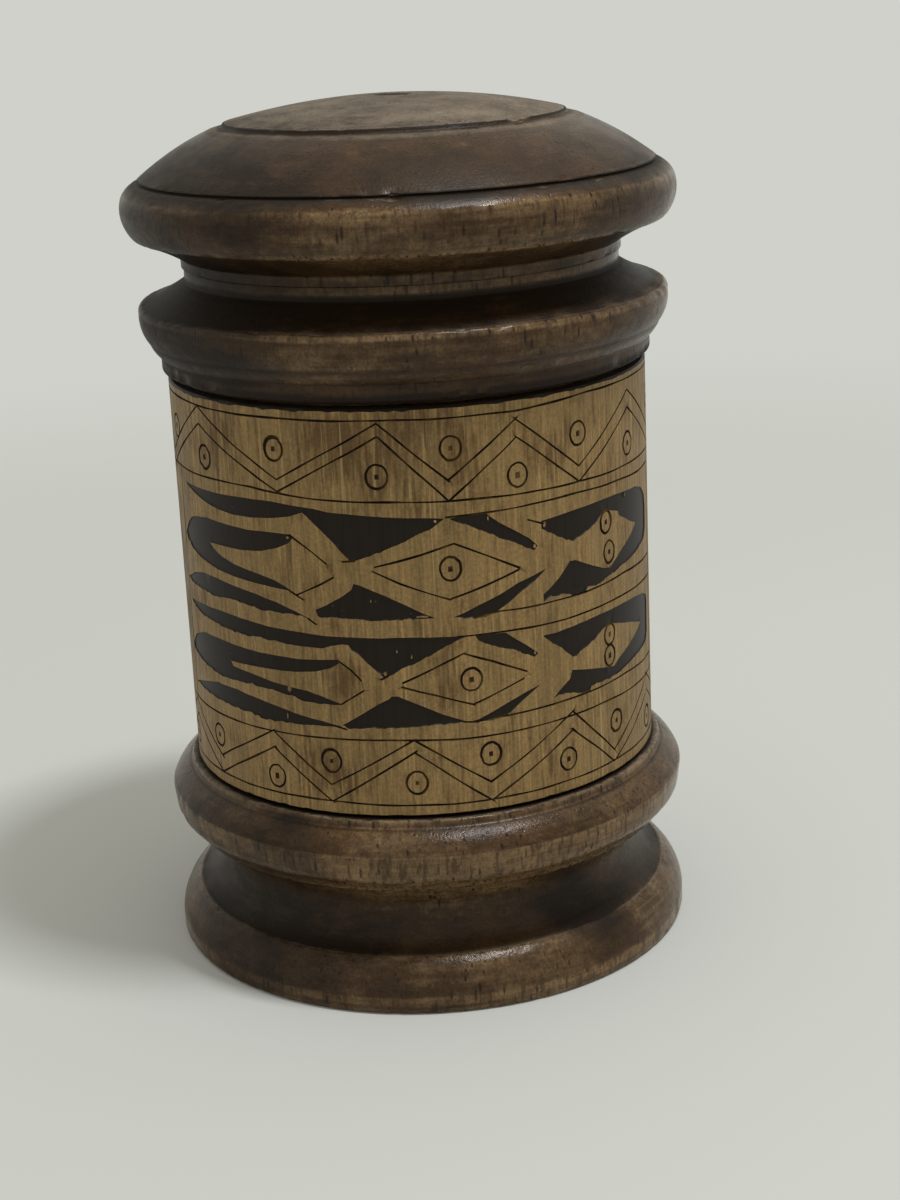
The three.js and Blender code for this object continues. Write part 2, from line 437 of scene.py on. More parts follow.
def grown(name, mesh, tree, values):
    """Runs a node tree on a mesh and keeps what comes out as a plain mesh object."""
    obj = bpy.data.objects.new(name, mesh)
    bpy.context.scene.collection.objects.link(obj)
    modifier = obj.modifiers.new("shape", "NODES")
    modifier.node_group = tree
    for identifier, value in values.items():
        modifier[identifier] = value
    depsgraph = bpy.context.evaluated_depsgraph_get()
    result = bpy.data.meshes.new_from_object(obj.evaluated_get(depsgraph))
    obj.modifiers.clear()
    obj.data = result
    bpy.data.meshes.remove(mesh)
    return obj


# Chips in the lid, as the photo shows them: degrees round from the front, radius, height, size and depth
LID_CHIPS = (
    (-1.2, 45.2, 137.6, 1.7, 0.55), (-4.5, 45.1, 137.6, 0.9, 0.3), (44.6, 45.2, 137.4, 1.3, 0.35),
    (30, 45, 137.5, 0.9, 0.3), (-38, 45.1, 137.5, 1.1, 0.3), (56.4, 31.5, 145.9, 1.2, 0.35),
    (42, 29.6, 146.7, 1.8, 0.5), (46, 29.7, 146.6, 1.2, 0.4), (-60, 43, 105.8, 2.2, 0.6),
    (21, 44.2, 108.5, 1, 0.3), (26, 44.4, 108.8, 1.6, 0.45), (30, 44.4, 108.9, 1.2, 0.4),
    (34, 44.5, 109, 1.5, 0.4),
    (1, 43.6, 108, 1, 0.25), (-66, 43, 106.6, 1.4, 0.4), (38, 46, 112.6, 1.1, 0.25),
    (-12, 46, 113.5, 0.8, 0.2),
    (-49, 43, 105.7, 1.4, 0.5), (55, 43, 105.8, 1.8, 0.5), (12, 43, 105.6, 1.3, 0.35),
    (150, 48, 132, 2.2, 0.5),
    (-120, 45.1, 137.5, 1.6, 0.4), (-158, 43, 105.8, 2, 0.5), (108, 43, 105.8, 1.5, 0.4),
    (205, 45.8, 116.7, 1.6, 0.4),
)
# Where the stain is painted deeper or, with a share below 0, thinner, partly as real stain and partly as
# painted shade and painted light that set how dark each side looks under the lamp: degrees, radius, height,
# reach and share
LID_STAIN_AND_SHADE = (
    (-66, 46, 111, 17, 0.6), (-42, 46, 110, 9, 0.4), (-66, 48, 131, 22, 0.32), (-50, 36, 142, 22, 0.3),
    (52, 48, 131, 15, 0.38), (-32, 38, 122, 12, 0.12),
    (15, 46, 112, 12, 0.15), (-32, 47, 135.8, 7, 0.4), (8, 47, 136, 6, 0.3), (45, 37, 142, 14, -0.22),
    (-20, 45, 112, 7, -0.2), (-10, 48, 131, 8, -0.15), (30, 46, 113, 7, -0.1), (140, 48, 131, 18, 0.35),
    (-140, 46, 111, 16, 0.3), (175, 40, 141, 16, 0.25), (100, 46, 112, 12, -0.2),
)
# The same for the foot: partly real stain and partly painted shade and painted light on its sides
FOOT_STAIN_AND_SHADE = (
    (-45, 46, 8, 20, 0.55), (12, 46, 8, 9, -0.2), (0, 42, 18, 12, -0.15), (36, 41, 14, 7, 0.6),
    (44, 45, 8, 5, 0.6), (-32, 45, 31, 9, 0.35),
    (50, 47, 29, 12, -0.1), (-8, 45, 32, 7, -0.3), (12, 45.5, 31.5, 5, 0.15), (-70, 47, 27, 12, 0.2),
    (0, 47, 2, 14, 0.3), (26, 44, 10, 5, -0.2), (-160, 46, 30, 14, 0.35), (120, 42, 16, 12, 0.3),
    (160, 47, 28, 10, -0.25),
)
FOOT_CHIPS = (
    (17, 47, 26.5, 1.2, 0.35), (-24, 43.6, 33.4, 1.3, 0.3), (8, 43.7, 12, 1.2, 0.3),
    (-100, 47.3, 4, 2, 0.5),
    (130, 47.1, 29, 1.8, 0.45), (-150, 43.9, 9.3, 1.8, 0.45), (70, 47.3, 2.5, 1.5, 0.4),
)

# How true a turned piece is: it is uneven by so many millimetres, in so many waves to the millimetre, and
# its arrises are nicked so deep, in so many waves, where the noise that makes them is over a limit
UNEVEN, UNEVEN_WAVES = 0.06, 0.07
NICK_DEPTH, NICK_WAVES, NICK_FROM, NICK_SPREAD = 0.9, 0.62, 0.22, 0.35
NICK_PALE, CHIP_PALE = 1.4, 0.6  # how pale the wood is that a nick and a chip lay bare
CHIP_STEEP, CHIP_RAGGED = 1.4, 0.5
RIM_KEPT = 0.8  # the rim that the foot stands on stays true up to this height


def handled(mesh, chips, patches, seed):
    """Takes the trueness off a turned piece: a little uneven all over, nicked along its arrises, and chipped.

    Wood only goes away, so the piece stays inside its true form. Nicks and chips show paler wood.
    """
    count = len(mesh.vertices)
    places, normals = np.empty(count * 3), np.empty(count * 3)
    mesh.vertices.foreach_get("co", places)
    mesh.vertex_normals.foreach_get("vector", normals)
    places, normals = places.reshape(-1, 3) / MM, normals.reshape(-1, 3)
    felt = {key: np.empty(count) for key in ("arris", "worn", "hollow")}
    for key, values in felt.items():
        mesh.attributes[key].data.foreach_get("value", values)
    shift = Vector((seed, 2 * seed, 3 * seed))
    uneven, nicked = (
        np.array([noise.noise(Vector(p) * waves + shift) for p in places])
        for waves in (UNEVEN_WAVES, NICK_WAVES)
    )
    nick = felt["arris"] * np.clip(nicked - NICK_FROM, 0, NICK_SPREAD)
    gone = UNEVEN * (1 + uneven) + NICK_DEPTH * nick
    fresh = NICK_PALE * nick

    def away_from(degrees, radius, height):
        """How far each point of the piece is from one that is given in degrees round from the front."""
        angle = math.radians(degrees)
        return np.linalg.norm(places - (math.sin(angle) * radius, -math.cos(angle) * radius, height), axis=1)

    for *where, size, depth in chips:
        slope = CHIP_STEEP * away_from(*where) / size * (1 + CHIP_RAGGED * nicked)
        broken = np.clip(CHIP_STEEP - slope, 0, 1)
        gone += depth * broken
        fresh += CHIP_PALE * broken
    fresh = np.clip(fresh, 0, 1)
    # Patches of deeper and thinner stain, partly real and partly painted shade and painted light on the sides
    # of the piece
    stain = sum(share * np.exp(-((away_from(*where) / reach) ** 2)) for *where, reach, share in patches)
    gone *= np.clip(places[:, 2] / RIM_KEPT, 0, 1)
    places -= normals * gone[:, None]
    mesh.vertices.foreach_set("co", (places * MM).ravel())
    worn = np.maximum(felt["worn"] - np.clip(stain, -1, 0) - 0.5 * np.clip(stain, 0, 1), fresh)
    hollow = (felt["hollow"] + np.clip(stain, 0, 1)) * (1 - fresh)
    for key, values in (("worn", worn), ("hollow", hollow)):
        mesh.attributes[key].data.foreach_set("value", np.clip(values, 0, 1).astype(np.float32))
    mesh.update()


def face_outwards(mesh):
    """Turns a closed mesh's faces outwards, going by its signed volume."""
    form = bmesh.new()
    form.from_mesh(mesh)
    if form.calc_volume(signed=True) < 0:
        bmesh.ops.reverse_faces(form, faces=form.faces)
    form.to_mesh(mesh)
    form.free()


def sharpen(mesh, angle):
    """Marks the edges that turn by more than an angle as sharp, and shades the rest smooth."""
    mesh.shade_smooth()
    mesh.set_sharp_from_angle(angle=angle)


# The pattern on the tube is drawn flat, in millimetres: x runs round the tube from the middle of the front,
# rightwards, and y up from the floor. The panel with the two lying figures fills half the tube, and is
# repeated behind. The seam runs between the two panels.
SEAM = -GIRTH / 4
BACK = GIRTH / 2

# The lines right round the tube
RINGS = (
    ((-60, 102.7), (-31, 102.2), (-10, 102.3), (17, 102.1), (33, 102.9), (50, 102.9), (120, 102.3),
     (190, 102.7)),
    ((-60, 90), (-29, 90.3), (-17, 89.3), (5, 88.5), (30, 88.2), (60, 88), (120, 89.6), (190, 90)),
    ((-60, 47.2), (-28, 47.7), (-6, 48.1), (10, 47.6), (34, 48), (56, 47.4), (110, 48.2), (190, 47.2)),
    ((-60, 36.2), (-17, 36.7), (-4, 36.3), (11, 36.2), (37, 36.5), (90, 36), (190, 36.2)),
)

# The corners of the double zigzags: peaks and valleys in turn, each with the heights of its two lines
TOP_ZIGZAG = (
    (-57, 92, 89.6), (-42, 102.3, 99.3), (-23.3, 92.1, 90.1), (-5.4, 101.8, 99.7), (5.6, 91.9, 88.5),
    (17.4, 100.8, 97.8), (30, 90.8, 88.2), (44.8, 101, 98), (59, 91.5, 88.4), (74, 101.6, 99),
    (89, 92, 89), (103.5, 101.4, 98.6), (118, 91.6, 89), (133, 101.8, 99.2), (147.5, 91.8, 89),
    (162.5, 101.5, 98.8), (177, 92, 89.3), (192, 101.6, 98.9), (207, 92, 89.6),
)
LOW_ZIGZAG = (
    (-55, 46.8, 43.8), (-42.9, 39.6, 36.5), (-27.8, 47.8, 44.8), (-16.6, 39.6, 36.6), (-2, 48, 45.8),
    (10.8, 39.4, 36.1), (27, 48.6, 45.3), (37.6, 38.5, 36.3), (53, 47.6, 44.6), (66, 39, 36),
    (79.5, 47.8, 45), (92.5, 39.2, 36.1), (106, 47.9, 45), (119, 39, 36.2), (132, 47.7, 44.8),
    (145.5, 39.3, 36.2), (158.5, 47.8, 45), (171.5, 39.1, 36), (184.5, 47.6, 44.7), (197, 39.3, 36.2),
    (209, 46.8, 43.8),
)

# The ringed dots of the two bands
BAND_DOTS = (
    (-53, 97), (-40.8, 93.7), (-23.6, 97.2), (-5.8, 93.1), (6.3, 97.2), (17.5, 91.5), (29.9, 96.4),
    (44.7, 91.7), (59, 97), (74, 93), (89, 97.2), (103.5, 92.9), (118, 97), (133, 93.2), (147.5, 97.2),
    (162.5, 93), (177, 97.1), (192, 93), (-43.3, 43.3), (-27.6, 39.6), (-16.4, 43.9), (-1.8, 40.4),
    (10.9, 44.4), (25.8, 40.3), (38.5, 43.6), (52.8, 39.5), (66, 43.8), (79.5, 40), (92.5, 44), (106, 40.2),
    (119, 44.1), (132, 40), (145.5, 44), (158.5, 40.2), (171.5, 44), (184.5, 40), (195.5, 43.8),
    (-57, 39.6),
)
BAND_RING = (1.75, 2.0)  # half the width and half the height of a ring in the bands

# What is drawn in one panel. A stroke is one cut of the knife.
PANEL_STROKES = {
    "left border": ((-52.5, 90), (-53, 79), (-53.5, 66), (-54, 47.4)),
    "second left border": ((-57.5, 90), (-58, 70), (-57.8, 47.2)),
    "right border": ((57.6, 88), (57.2, 75), (57.4, 60), (57, 47.4)),
    "second right border": ((61.8, 88), (61.5, 70), (61.6, 47.4)),
    "over the first figure": ((5, 85.9), (11.5, 86), (19.3, 86.2), (28, 86.4), (39.5, 86.2), (50, 85.6),
        (57.4, 85.6)),
    "under the first figure": ((9, 68.4), (13.4, 69), (21.4, 68.8), (34.5, 69.1), (42, 69.4), (57.4, 68.9)),
    "over the second figure": ((6, 65.6), (14.6, 65.4), (26, 65.2), (36.5, 65.6), (44, 65.5), (57.4, 65)),
    "under the second figure": ((9, 50.4), (13, 50.6), (21, 50.9), (34, 51.1), (42, 51.2), (57.2, 50.4)),
    "first knee": ((-21.6, 82.9), (-17.4, 80.2), (-15.1, 78.4)),
    "first shin": ((-22.6, 73.5), (-19.6, 72)),
    "first foot": ((-20.8, 72.8), (-16.2, 74.9), (-14, 76.1)),
    "first waist": ((-12.4, 78.9), (-10.2, 79.1)),
    "first tail": ((-19, 68.8), (-17.6, 67.9)),
    "first body, upper": ((-7, 78.1), (0.5, 79.8), (6.4, 81.4)),
    "first body, brow": ((6, 81.4), (11.5, 78.8), (17.5, 75.8)),
    "first body, lower": ((-7.4, 77.4), (-2.9, 75.2), (5.3, 71.9)),
    "first body, chin": ((4.9, 72), (11, 73.7), (17.1, 75.6)),
    "first arm": ((19, 83.7), (22, 82.6)),
    "second knee": ((-14.2, 61.9), (-11.9, 60.2), (-10.3, 58.5)),
    "second foot": ((-14, 54.2), (-9.9, 56.8)),
    "second tail": ((-15.4, 50.3), (-13.4, 49.8)),
    "second waist": ((-7, 58.7), (-5.8, 59.3)),
    "second body, upper": ((-3.4, 58.1), (2, 60.4), (7.1, 62.7)),
    "second body, brow": ((6.8, 62.6), (12, 60.6), (18, 57.7)),
    "second body, lower": ((-3.6, 57.4), (2, 55.7), (8.6, 53.4)),
    "second body, chin": ((8.1, 53.5), (13, 55.2), (17.5, 56.7)),
    "second tip": ((6.4, 50.7), (9.2, 50.3)),
}
# The ringed dots of one panel: middle, half width and half height of the ring
PANEL_DOTS = (
    (5.4, 77.2, 1.75, 2.0), (36.6, 79.8, 1.55, 1.95), (37.4, 74.4, 1.55, 1.95),
    (8.1, 57.9, 1.75, 1.95), (37, 59.8, 1.5, 1.85), (36.9, 56, 1.5, 1.85),
)

# The scraped areas of one panel, each as runs of its edge: "clean" where the knife cut along it, and "torn"
# where the scraping broke away across the fibres
PANEL_AREAS = {
    "over the first leg and flank": (
        ("clean", (-50.3, 87.7), (-45.7, 87.8), (-39, 87.9), (-31.2, 88.2), (-25, 88.3), (-20.2, 87.9)),
        ("clean", (-16.6, 87.6), (-14.6, 87.2), (-10.7, 86.9), (-6, 86.5), (-2.4, 86.2), (1.5, 86),
         (4.8, 85.7)),
        ("torn", (2.9, 84.4), (1, 83.6), (-1.2, 82.5), (-3.8, 81.5), (-6, 80.6), (-7.8, 80), (-10, 79.2)),
        ("clean", (-10.8, 79), (-12.1, 80.2), (-13.9, 82.3), (-15.8, 84.1), (-18.2, 86.4), (-18.9, 86.9)),
        ("clean", (-21.4, 86), (-25.2, 85.4), (-29.5, 85), (-34, 84.9), (-38, 85.2), (-41.6, 85.7),
         (-46, 86.6)),
    ),
    "between the first legs": (
        ("clean", (-46.2, 82.4), (-41.6, 83), (-35.5, 82.9), (-30, 82.8), (-25.4, 83), (-21.7, 83),
         (-20.9, 82.4)),
        ("clean", (-21.8, 81.5), (-24, 80.5), (-27.5, 79.5), (-32.2, 79), (-36.7, 78.9), (-41.3, 78.7)),
        ("clean", (-40, 77.9), (-37.8, 77), (-34.3, 76.2), (-29.2, 75.5), (-25.2, 74.8), (-23.2, 74),
         (-20.3, 72.5)),
        ("clean", (-22.4, 73.3), (-25.6, 73.5), (-29.3, 73.7), (-34.6, 74), (-39.5, 74.4), (-44.6, 75.1)),
        ("torn", (-49, 76.1), (-51.4, 77.1), (-52.1, 78.2)),
        ("clean", (-52, 78.6), (-50, 80.6), (-48.2, 81.8)),
    ),
    "under the first leg": (
        ("clean", (-53, 70.1), (-51, 70.8), (-48.6, 71.8), (-44.4, 72.7), (-39.8, 72.7), (-34.8, 72.3)),
        ("clean", (-29.5, 71.8), (-24.9, 70.9), (-21.6, 69.9), (-18.4, 68.7)),
        ("torn", (-20.3, 69.1), (-22.2, 69.2), (-26.6, 69.3), (-28.5, 69.1), (-31.1, 69.5), (-35.9, 69.8)),
        ("torn", (-40.3, 69.3), (-45.7, 69.4), (-50.9, 69.5)),
    ),
    "under the first belly": (
        ("clean", (-17.6, 70.4), (-15.4, 71.4), (-12.8, 72.9), (-11, 74.2), (-10.6, 75.2), (-9.5, 74.9)),
        ("clean", (-5.6, 73.2), (-2.2, 71.5), (0.5, 70), (2.6, 69)),
        ("torn", (-0.7, 69.1), (-4, 69), (-7.5, 69), (-8.2, 68.8), (-10.6, 69.2), (-13.5, 69.3),
         (-17.2, 69.2)),
    ),
    "under the first arm": (
        ("clean", (5.2, 68.8), (7.3, 69.5), (10, 70.6), (13.6, 71.9), (17, 73.4), (19.7, 74.1),
         (22.4, 74.9)),
        ("clean", (20.2, 73.3), (17.4, 71.8), (15, 70.2), (12.9, 69.1)),
        ("torn", (10.9, 68.4), (9.5, 68.3), (7, 68.7)),
    ),
    "over the first arm": (
        ("clean", (5.6, 85.6), (8, 85.9), (11.7, 86)),
        ("clean", (12.1, 85.5), (14, 84), (16.5, 82.4), (19.1, 80.7), (20.8, 79.1)),
        ("torn", (20.1, 78.4), (18.5, 79.2), (16.4, 80.3), (13.7, 81.6), (12, 82.6), (9.2, 83.9),
         (7.3, 84.8)),
    ),
    "round the first head": (
        ("clean", (21.6, 83.1), (24.9, 83.4), (29.6, 83.7), (35.1, 83.9), (39.4, 83.9), (43.5, 83.6),
         (48, 83.3)),
        ("clean", (51.5, 82.3), (53.8, 80.5), (54.6, 78), (54.4, 74.5), (53, 72.7), (49.5, 72), (46, 71.4)),
        ("torn", (41.9, 70.9), (35.7, 69.9), (33, 69.4), (31.2, 69.6), (30.6, 68.9), (27.7, 68.9),
         (27.3, 69.5)),
        ("torn", (25.2, 69.7), (23.2, 69.9), (21.6, 69.2)),
        ("clean", (21.6, 70.5), (23.2, 71.5), (25, 72.8), (27.3, 75.1), (28.6, 75), (32.7, 73.1),
         (35.8, 71.9)),
        ("clean", (37.6, 71.6), (39.2, 72.5), (42, 74), (45.7, 75.6), (47.6, 76.9), (45.2, 77.8),
         (43.4, 78.7)),
        ("clean", (41, 79.8), (40.4, 80.8), (38.6, 81.3), (37, 81.8), (35.6, 81.6)),
        ("torn", (34.8, 80.9), (32.6, 79.8), (30.8, 79.2), (29.4, 78.8), (28.1, 78.4), (27.1, 78.8),
         (25, 79.8)),
        ("torn", (23.3, 80.9), (21.6, 81.7)),
    ),
    "over the second leg and flank": (
        ("clean", (-52.4, 66.1), (-45.6, 66.7), (-38.8, 67), (-32.8, 66.8), (-27.8, 66.5), (-21.9, 66.3)),
        ("clean", (-16.5, 66), (-12.7, 66), (-6.7, 65.9), (-3.4, 66), (1.5, 65.8), (7.7, 65.5)),
        ("torn", (6.4, 65), (4.5, 64.2), (2.6, 63.3), (0.2, 62), (-1.8, 61.2), (-3.6, 60.3)),
        ("clean", (-5.6, 59.3), (-6.4, 59), (-7, 59.7), (-8.9, 61.4), (-10.5, 63.1), (-11.6, 63.8),
         (-12.1, 64.6)),
        ("clean", (-13.3, 64.7), (-15.4, 64.3), (-16.7, 63.8), (-19.3, 63.8)),
        ("torn", (-23.5, 63.9), (-26.7, 64.1), (-29.6, 64.2), (-33.1, 63.9), (-35.8, 64), (-41.5, 64.3)),
        ("clean", (-47.3, 64.7), (-51.1, 65.5)),
    ),
    "between the second legs": (
        ("clean", (-53.6, 57.8), (-50.8, 60), (-45.9, 61.5), (-40.4, 61.7), (-35.3, 61.6), (-30, 61.5)),
        ("clean", (-25.2, 61.5), (-20.8, 61.5), (-16.8, 61.8), (-14, 62)),
        ("clean", (-14, 61.3), (-15.6, 60.4), (-18.3, 59.6), (-22.4, 59.1), (-26.9, 58.9), (-31.9, 58.7)),
        ("clean", (-37.3, 58.4), (-36.8, 57.6), (-32, 57.3), (-27.1, 56.7), (-23.2, 56.3), (-20, 56),
         (-17.3, 55.3)),
        ("clean", (-15.2, 54.6), (-13.6, 54.1)),
        ("torn", (-16, 53.9), (-20, 54), (-23.3, 54.7), (-27.2, 55.2), (-32.2, 55.4), (-36.9, 55),
         (-40.5, 54.9)),
        ("torn", (-45.9, 55.3), (-51.1, 56), (-53.4, 56.6)),
    ),
    "under the second leg": (
        ("clean", (-53.6, 50.4), (-51.7, 51), (-46.5, 52.3), (-42.2, 53.3), (-36.3, 53.5), (-30.7, 53)),
        ("clean", (-25.9, 52.3), (-21.6, 51.5), (-17.6, 50.9), (-14, 50.2)),
        ("torn", (-17.6, 50), (-23.2, 49.8), (-26.8, 49.7), (-29.4, 49.5), (-32.8, 50), (-38.8, 50.1)),
        ("torn", (-43.9, 50.2), (-49.1, 50.3)),
    ),
    "under the second belly": (
        ("clean", (-14, 50.5), (-11.1, 52.2), (-7.8, 54.3), (-5.8, 55.3), (-5.3, 55.8), (-4.3, 55.8)),
        ("clean", (-2.5, 55), (0.2, 53.7), (3, 52.3), (6.9, 50.7)),
        ("torn", (4.8, 50.5), (0.6, 50.4), (-4, 50.1), (-8.8, 50.2), (-13, 50)),
    ),
    "under the second arm": (
        ("clean", (6.9, 50.5), (9, 50.8), (11.5, 51.8), (14.1, 52.9), (17.5, 54.2), (20.6, 55.1)),
        ("clean", (18.9, 54.1), (16.7, 52.7), (14.8, 51.3), (13.8, 50.7)),
        ("torn", (11.4, 50.3), (9.2, 50.4)),
    ),
    "over the second arm": (
        ("clean", (9, 65.4), (11, 65.4), (14.3, 65.2), (16.6, 63.4), (18.4, 62.1), (20.2, 60.6)),
        ("torn", (19.5, 60), (17.8, 60.9), (15.5, 62), (13.2, 62.9), (10.7, 63.8), (9.5, 64.6)),
    ),
    "round the second head": (
        ("clean", (21.2, 63.4), (24.1, 63.4), (28.9, 63.8), (34.3, 64.1), (41.1, 64.1), (47, 63.8),
         (51.6, 63)),
        ("clean", (54, 62), (54.6, 60.5), (54.4, 55), (53.4, 53.8), (50.9, 53.3), (46.6, 53), (43.3, 52.6)),
        ("torn", (40, 52.1), (35.9, 51.9), (31.6, 52), (31.2, 51.3), (29.8, 51.3), (26.8, 52), (24, 52.3)),
        ("clean", (22.9, 51.9), (24.3, 53.1), (26.6, 54.6), (27.1, 56), (30.3, 55.3), (36, 54.1),
         (38.2, 53.7)),
        ("clean", (39.6, 54.6), (42.9, 55.7), (46.8, 57.1), (49.6, 58.3), (43.7, 60), (38.6, 61.3),
         (36.7, 61.7)),
        ("torn", (35.4, 61.4), (33.8, 60.6), (32.2, 59.8), (30.4, 59.2), (29, 58.8), (28.3, 58.2),
         (27.2, 58.4)),
        ("torn", (26.1, 59.3), (24.9, 60.6), (23.1, 61.7)),
    ),
}

# Slivers of skin that the scraping left standing in the dark: middle, width, height
PANEL_SLIVERS = (
    (-22, 82.3, 0.55, 0.5), (3.2, 85.3, 0.5, 0.7), (22.2, 82.4, 0.5, 0.8), (20.2, 79.1, 0.5, 0.7),
    (0.4, 69.4, 2.2, 0.35), (-6.2, 59.7, 0.6, 0.7), (19.6, 60.8, 0.45, 0.6), (-7.9, 72.2, 0.25, 0.45),
    (-4, 63.6, 0.25, 0.5), (-1.6, 62.6, 0.3, 0.5), (-24.4, 51, 0.3, 1.1), (-23.6, 56, 0.7, 1.2),
    (12, 85, 0.25, 0.8), (43, 83, 0.3, 0.6),
)

# Brown smudges on the skin, and where it is rubbed and stays pale: middle, half width and half height
SMUDGES = (
    (-4.5, 96, 5, 7), (-12.5, 100, 6, 3.5), (3, 101, 4.5, 4), (-13, 98, 4, 5), (8.5, 94, 2.5, 6),
    (24.5, 94.5, 3, 4), (-14, 60, 3, 3),
    (-17, 42, 5, 4), (-35, 98, 4, 6), (5, 58, 3, 4), (70, 95, 6, 6), (110, 60, 9, 12),
    (150, 97, 7, 5), (-58, 70, 5, 15), (88, 42, 8, 5), (165, 44, 7, 5),
)
PALE_SPOTS = ((21, 58, 5, 5), (0, 78, 4, 3), (36, 58, 5, 3), (-8, 63.5, 5, 2), (125, 75, 8, 8))


# What makes a setting a colour with its own swatch
COLOUR = {"subtype": "COLOR", "size": 4}


class LatheSettings(bpy.types.PropertyGroup):
    """Sizes and colours of the turned wood."""

    steps_round: IntProperty(
        name="Steps Round", description="Faces round each turned piece", default=284, min=32
    )
    ease: FloatProperty(
        name="Edge Ease", description="How far an arris is rounded over", default=0.28 * MM, unit="LENGTH"
    )
    stain: FloatVectorProperty(
        name="Stain", description="The dark stain on plain runs", default=linear("#412f1c"), **COLOUR
    )
    # The deep stain darkens the hollows, partly as grime and partly as painted shade
    deep: FloatVectorProperty(
        name="Deep Stain", description="The grime in the hollows", default=linear("#1d1207"), **COLOUR
    )
    # The worn colour also lightens places as painted light and sheen, where the wear column and the patches
    # ask for it
    worn: FloatVectorProperty(
        name="Worn Wood", description="Where hands wore the stain", default=linear("#796246"), **COLOUR
    )
    dry: FloatVectorProperty(
        name="Dry Wood", description="The faded top of the crown", default=linear("#746758"), **COLOUR
    )
    bare: FloatVectorProperty(
        name="Bare Wood", description="Never stained, inside the box", default=linear("#80664a"), **COLOUR
    )


class CulmSettings(bpy.types.PropertyGroup):
    """Sizes and colours of the engraved tube."""

    line_width: FloatProperty(
        name="Line Width", description="Width of an engraved line", default=0.34 * MM, unit="LENGTH"
    )
    line_depth: FloatProperty(
        name="Line Depth", description="Depth of an engraved line", default=0.28 * MM, unit="LENGTH"
    )
    scrape: FloatProperty(
        name="Scrape", description="How deep the dark areas are scraped", default=0.16 * MM, unit="LENGTH"
    )
    skin: FloatVectorProperty(
        name="Skin", description="The aged skin of the bamboo", default=linear("#846b42"), **COLOUR
    )
    soot: FloatVectorProperty(
        name="Soot", description="Rubbed into the scraped areas", default=linear("#1c140e"), **COLOUR
    )


class StageSettings(bpy.types.PropertyGroup):
    """The camera, the lamps and the floor."""

    camera_distance: FloatProperty(
        name="Camera Distance", description="From the turning axis", default=0.37675, unit="LENGTH"
    )
    camera_height: FloatProperty(
        name="Camera Height", description="Above the floor", default=0.17493, unit="LENGTH"
    )
    pitch: FloatProperty(name="Pitch", description="Down", default=math.radians(17.083), unit="ROTATION")
    yaw: FloatProperty(name="Yaw", description="Left", default=math.radians(-0.867), unit="ROTATION")
    roll: FloatProperty(name="Roll", description="Turn", default=math.radians(-2.668), unit="ROTATION")
    lens: FloatProperty(name="Lens", description="Focal length in millimetres", default=64.55)
    floor: FloatVectorProperty(name="Floor", description="Pale floor", default=linear("#c5c8c5"), **COLOUR)
    background: FloatVectorProperty(
        name="Background", description="Plain pale background", default=linear("#cfd1ca"), **COLOUR
    )


def begun(name):
    """A material without nodes yet, its tree, and where each point of the piece lies, in metres."""
    material = bpy.data.materials.new(name)
    material.use_nodes = True
    tree = material.node_tree
    tree.nodes.clear()
    return material, tree, add(tree, "ShaderNodeTexCoord").outputs["Object"]


def drawn_out(tree, place, *rows):
    """Noises, each with its cells to the metre along each axis, its detail, its roughness and its shift."""
    made = []
    for stretch, detail, roughness, *shift in rows:
        where = {"Vector": place, "Scale": stretch, "Location": shift or (0, 0, 0)}
        at = add(tree, "ShaderNodeMapping", inputs=where)
        fine = {"Vector": at, "Scale": 1.0, "Detail": detail, "Roughness": roughness}
        made.append(add(tree, "ShaderNodeTexNoise", inputs=fine))
    return made


# Nearly all of a noise lies between these two
NOISE_LOW, NOISE_HIGH = 0.3, 0.7


def toned(tree, colour, *rows):
    """The colour darkened and lightened by noises, each between two factors."""
    tone = 1.0
    for texture, low, high in rows:
        shade = add(tree, "ShaderNodeMapRange", inputs=(texture, NOISE_LOW, NOISE_HIGH, low, high))
        tone = add(tree, "ShaderNodeMath", {"operation": "MULTIPLY"}, (tone, shade))
    return add(tree, "ShaderNodeVectorMath", {"operation": "SCALE"}, {0: colour, "Scale": tone})


# The sockets for colours of a mix node go by number, since those for plain numbers have the same names
MIX_SHARE, MIX_UNDER, MIX_OVER, MIX_RESULT = 0, 6, 7, 2


def layered(tree, colour, *rows):
    """The colour with others laid over it, each by its share."""
    for share, shade in rows:
        over = linear(shade) if isinstance(shade, str) else tuple(shade)
        parts = {MIX_SHARE: share, MIX_UNDER: colour, MIX_OVER: over}
        colour = add(tree, "ShaderNodeMix", {"data_type": "RGBA"}, parts).outputs[MIX_RESULT]
    return colour


def summed(tree, total, *rows):
    """The total with values added to it, each times its weight."""
    for value, weight in rows:
        total = add(tree, "ShaderNodeMath", {"operation": "MULTIPLY_ADD"}, (value, weight, total))
    return total


def finished(material, colour, roughness, gloss, relief=None):
    """Closes a material with its surface. A relief is a height, how strong it is, and its millimetres."""
    tree = material.node_tree
    surface = {"Base Color": colour, "Roughness": roughness, "Specular IOR Level": gloss}
    if relief:
        height, strength, depth = relief
        raised = {"Height": height, "Strength": strength, "Distance": depth * MM}
        surface["Normal"] = add(tree, "ShaderNodeBump", inputs=raised)
    shader = add(tree, "ShaderNodeBsdfPrincipled", inputs=surface)
    add(tree, "ShaderNodeOutputMaterial", inputs={"Surface": shader})
    return material


HARDWOOD = "turned_stained_hardwood"
GOUGE_LINES = 1100  # cells to the metre along the wood, so about 1 mm apart
GOUGE_ROUND = (2.2, 2.2, 2.2)  # cells over half the way round, so they are slow to change


